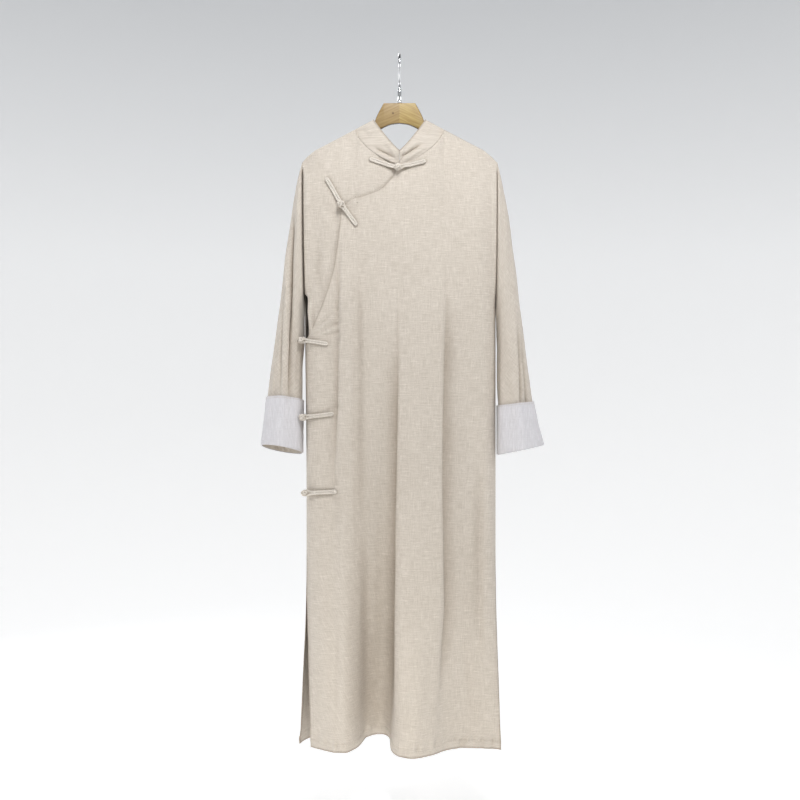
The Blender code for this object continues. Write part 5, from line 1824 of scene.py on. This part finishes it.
class GownSizes(bpy.types.PropertyGroup):
    """Sizes of the cloth, the cords and the sewing."""

    cloth_wall: length_property("Cloth wall", "Thickness of the gown's cloth", 0.0012, 0.0006, 0.0016)
    cuff_wall: length_property("Cuff wall", "Thickness of the turned-back cuffs", 0.0013, 0.0006, 0.0016)
    collar_wall: length_property("Collar wall", "Thickness of the lined collar band", 0.0021, 0.001, 0.0026)
    hem_turn: length_property("Hem turn-up", "Height of the hem's stitch line", 0.017, 0.01, 0.03)
    hem_pucker: length_property(
        "Hem pucker", "Height of the puckers along the hem's stitches", 0.0014, 0.0, 0.002
    )
    cord_radius: length_property(
        "Cord radius", "Radius of the knot buttons' cloth cord", 0.0023, 0.0015, 0.0026
    )
    ball_radius: length_property("Ball radius", "Radius of the knotted balls", 0.0075, 0.006, 0.008)
    ball_lift: length_property(
        "Ball height", "Height of the balls' middles over the cloth", 0.0135, 0.012, 0.014
    )
    stitch_pitch: length_property(
        "Stitch pitch", "Distance from one stitch to the next", 0.0034, 0.002, 0.006
    )
    stitch_length: length_property("Stitch length", "Length of one visible stitch", 0.0024, 0.001, 0.004)
    thread_thickness: length_property("Thread thickness", "Thickness of the thread", 0.0006, 0.0003, 0.001)
    crease_strength: bpy.props.FloatProperty(
        name="Crease strength",
        description="How deep the creases are beside those of the photograph",
        default=1.0,
        min=0.0,
        max=1.6,
        subtype="FACTOR",
    )


class GownColours(bpy.types.PropertyGroup):
    """Colours of the cloth, the wood, the chrome and the stage."""

    cloth_dark: colour_property(
        "Cloth, dark threads", "Shade between the cloth's slubs", (0.47, 0.413, 0.347)
    )
    cloth_light: colour_property("Cloth, light slubs", "Shade of the cloth's slubs", (0.78, 0.72, 0.648))
    cuff_dark: colour_property("Cuff, dark threads", "Shade between the cuffs' threads", (0.58, 0.565, 0.585))
    cuff_light: colour_property("Cuff, light threads", "Shade of the cuffs' threads", (0.80, 0.79, 0.82))
    cord_dark: colour_property("Cord, dark threads", "Shade between the cords' threads", (0.56, 0.51, 0.45))
    cord_light: colour_property("Cord, light threads", "Shade of the cords' threads", (0.83, 0.78, 0.71))
    thread: colour_property("Thread", "Shade of the sewing thread", (0.56, 0.49, 0.41))
    wood_left: colour_property("Wood, left half", "Shade of the hanger's left half", (0.365, 0.254, 0.102))
    wood_right: colour_property("Wood, right half", "Shade of the hanger's right half", (0.445, 0.325, 0.114))
    chrome: colour_property("Chrome", "Shade of the hook's plating", (0.86, 0.87, 0.88))
    floor: colour_property("Floor", "Shade of the floor and the foot of the backdrop", (0.86, 0.86, 0.86))
    # Painted light: the backdrop glows by itself, no lamp shines through the paper
    floor_painted_glow: colour_property("Floor's glow", "Light through the paper at the floor", (0.47, 0.47, 0.47))
    backdrop_painted_glow: colour_property(
        "Backdrop's glow", "Light through the paper at the top", (0.25, 0.254, 0.26)
    )
    # Painted shade: the backdrop greys towards its top
    backdrop_top_painted_shade: colour_property("Backdrop's top", "Shade of the backdrop's top", (0.60, 0.61, 0.62))


def sewn(names, finish):
    """The rows of stitches whose names start with one of the names."""
    made = []
    for name, path in STITCH_LINES.items():
        if name.startswith(names):
            made.append(make_stitches(name, path, finish))
    return made


class OBJECT_OT_gown_fronts(bpy.types.Operator):
    """Makes the large overlapping front, the small front under it and their sewing"""

    bl_idname = "object.gown_fronts"
    bl_label = "Fronts"

    def execute(self, context):
        front = make_front()
        stitches = sewn(("hem_stitches_front", "slit_stitches_front"), thread())
        under = make_under_front()
        return {"FINISHED"}


class OBJECT_OT_gown_back(bpy.types.Operator):
    """Makes the back and its sewing"""

    bl_idname = "object.gown_back"
    bl_label = "Back"

    def execute(self, context):
        back = make_back()
        stitches = sewn(("hem_stitches_back", "slit_stitches_back"), thread())
        return {"FINISHED"}


class OBJECT_OT_gown_sleeves(bpy.types.Operator):
    """Makes both sleeves"""

    bl_idname = "object.gown_sleeves"
    bl_label = "Sleeves"

    def execute(self, context):
        left = make_sleeve("left", LEFT_SLEEVE, LEFT_SLEEVE_FRONT, LEFT_SLEEVE_BACK, 71)
        right = make_sleeve("right", RIGHT_SLEEVE, RIGHT_SLEEVE_FRONT, RIGHT_SLEEVE_BACK, 81)
        return {"FINISHED"}


class OBJECT_OT_gown_cuffs(bpy.types.Operator):
    """Makes both turned-back white cuffs and their stitched tops"""

    bl_idname = "object.gown_cuffs"
    bl_label = "Cuffs"

    def execute(self, context):
        for side, table, seed in (("left", LEFT_SLEEVE, 91), ("right", RIGHT_SLEEVE, 95)):
            cuff = make_cuff(side, table, seed)
            stitches = sewn(("cuff_stitches_" + side,), thread())
        return {"FINISHED"}


class OBJECT_OT_gown_collar(bpy.types.Operator):
    """Makes the stand collar"""

    bl_idname = "object.gown_collar"
    bl_label = "Collar"

    def execute(self, context):
        make_collar()
        return {"FINISHED"}


class OBJECT_OT_gown_knots(bpy.types.Operator):
    """Makes the five knot buttons with their loops"""

    bl_idname = "object.gown_knots"
    bl_label = "Knot buttons"

    def execute(self, context):
        make_front_knots()
        make_side_knots()
        return {"FINISHED"}


class OBJECT_OT_gown_hanger(bpy.types.Operator):
    """Makes the wooden hanger with its ferrule and hook"""

    bl_idname = "object.gown_hanger"
    bl_label = "Hanger"

    def execute(self, context):
        make_hanger()
        make_hook()
        return {"FINISHED"}


class OBJECT_OT_gown_stage(bpy.types.Operator):
    """Makes the floor, the soft light and the camera"""

    bl_idname = "object.gown_stage"
    bl_label = "Stage"

    def execute(self, context):
        make_stage()
        return {"FINISHED"}


OPERATORS = (
    OBJECT_OT_gown_fronts,
    OBJECT_OT_gown_back,
    OBJECT_OT_gown_sleeves,
    OBJECT_OT_gown_cuffs,
    OBJECT_OT_gown_collar,
    OBJECT_OT_gown_knots,
    OBJECT_OT_gown_hanger,
    OBJECT_OT_gown_stage,
)


class VIEW3D_PT_gown(bpy.types.Panel):
    """Sizes, colours and pieces of the gown"""

    bl_label = "Gown"
    bl_idname = "VIEW3D_PT_gown"
    bl_space_type = "VIEW_3D"
    bl_region_type = "UI"
    bl_category = "Gown"

    def draw(self, context):
        for settings in (context.scene.gown_sizes, context.scene.gown_colours):
            box = self.layout.box()
            for name in settings.__annotations__:
                box.prop(settings, name)
        for operator in OPERATORS:
            self.layout.operator(operator.bl_idname)


CLASSES = (GownSizes, GownColours, *OPERATORS, VIEW3D_PT_gown)


def register():
    for made in CLASSES:
        bpy.utils.register_class(made)
    bpy.types.Scene.gown_sizes = bpy.props.PointerProperty(type=GownSizes)
    bpy.types.Scene.gown_colours = bpy.props.PointerProperty(type=GownColours)


def unregister():
    del bpy.types.Scene.gown_colours
    del bpy.types.Scene.gown_sizes
    for made in reversed(CLASSES):
        bpy.utils.unregister_class(made)


def main():
    """Makes every piece in order."""
    register()
    bpy.ops.object.gown_fronts()
    bpy.ops.object.gown_back()
    bpy.ops.object.gown_sleeves()
    bpy.ops.object.gown_cuffs()
    bpy.ops.object.gown_collar()
    bpy.ops.object.gown_knots()
    bpy.ops.object.gown_hanger()
    bpy.ops.object.gown_stage()


if __name__ == "__main__":
    main()
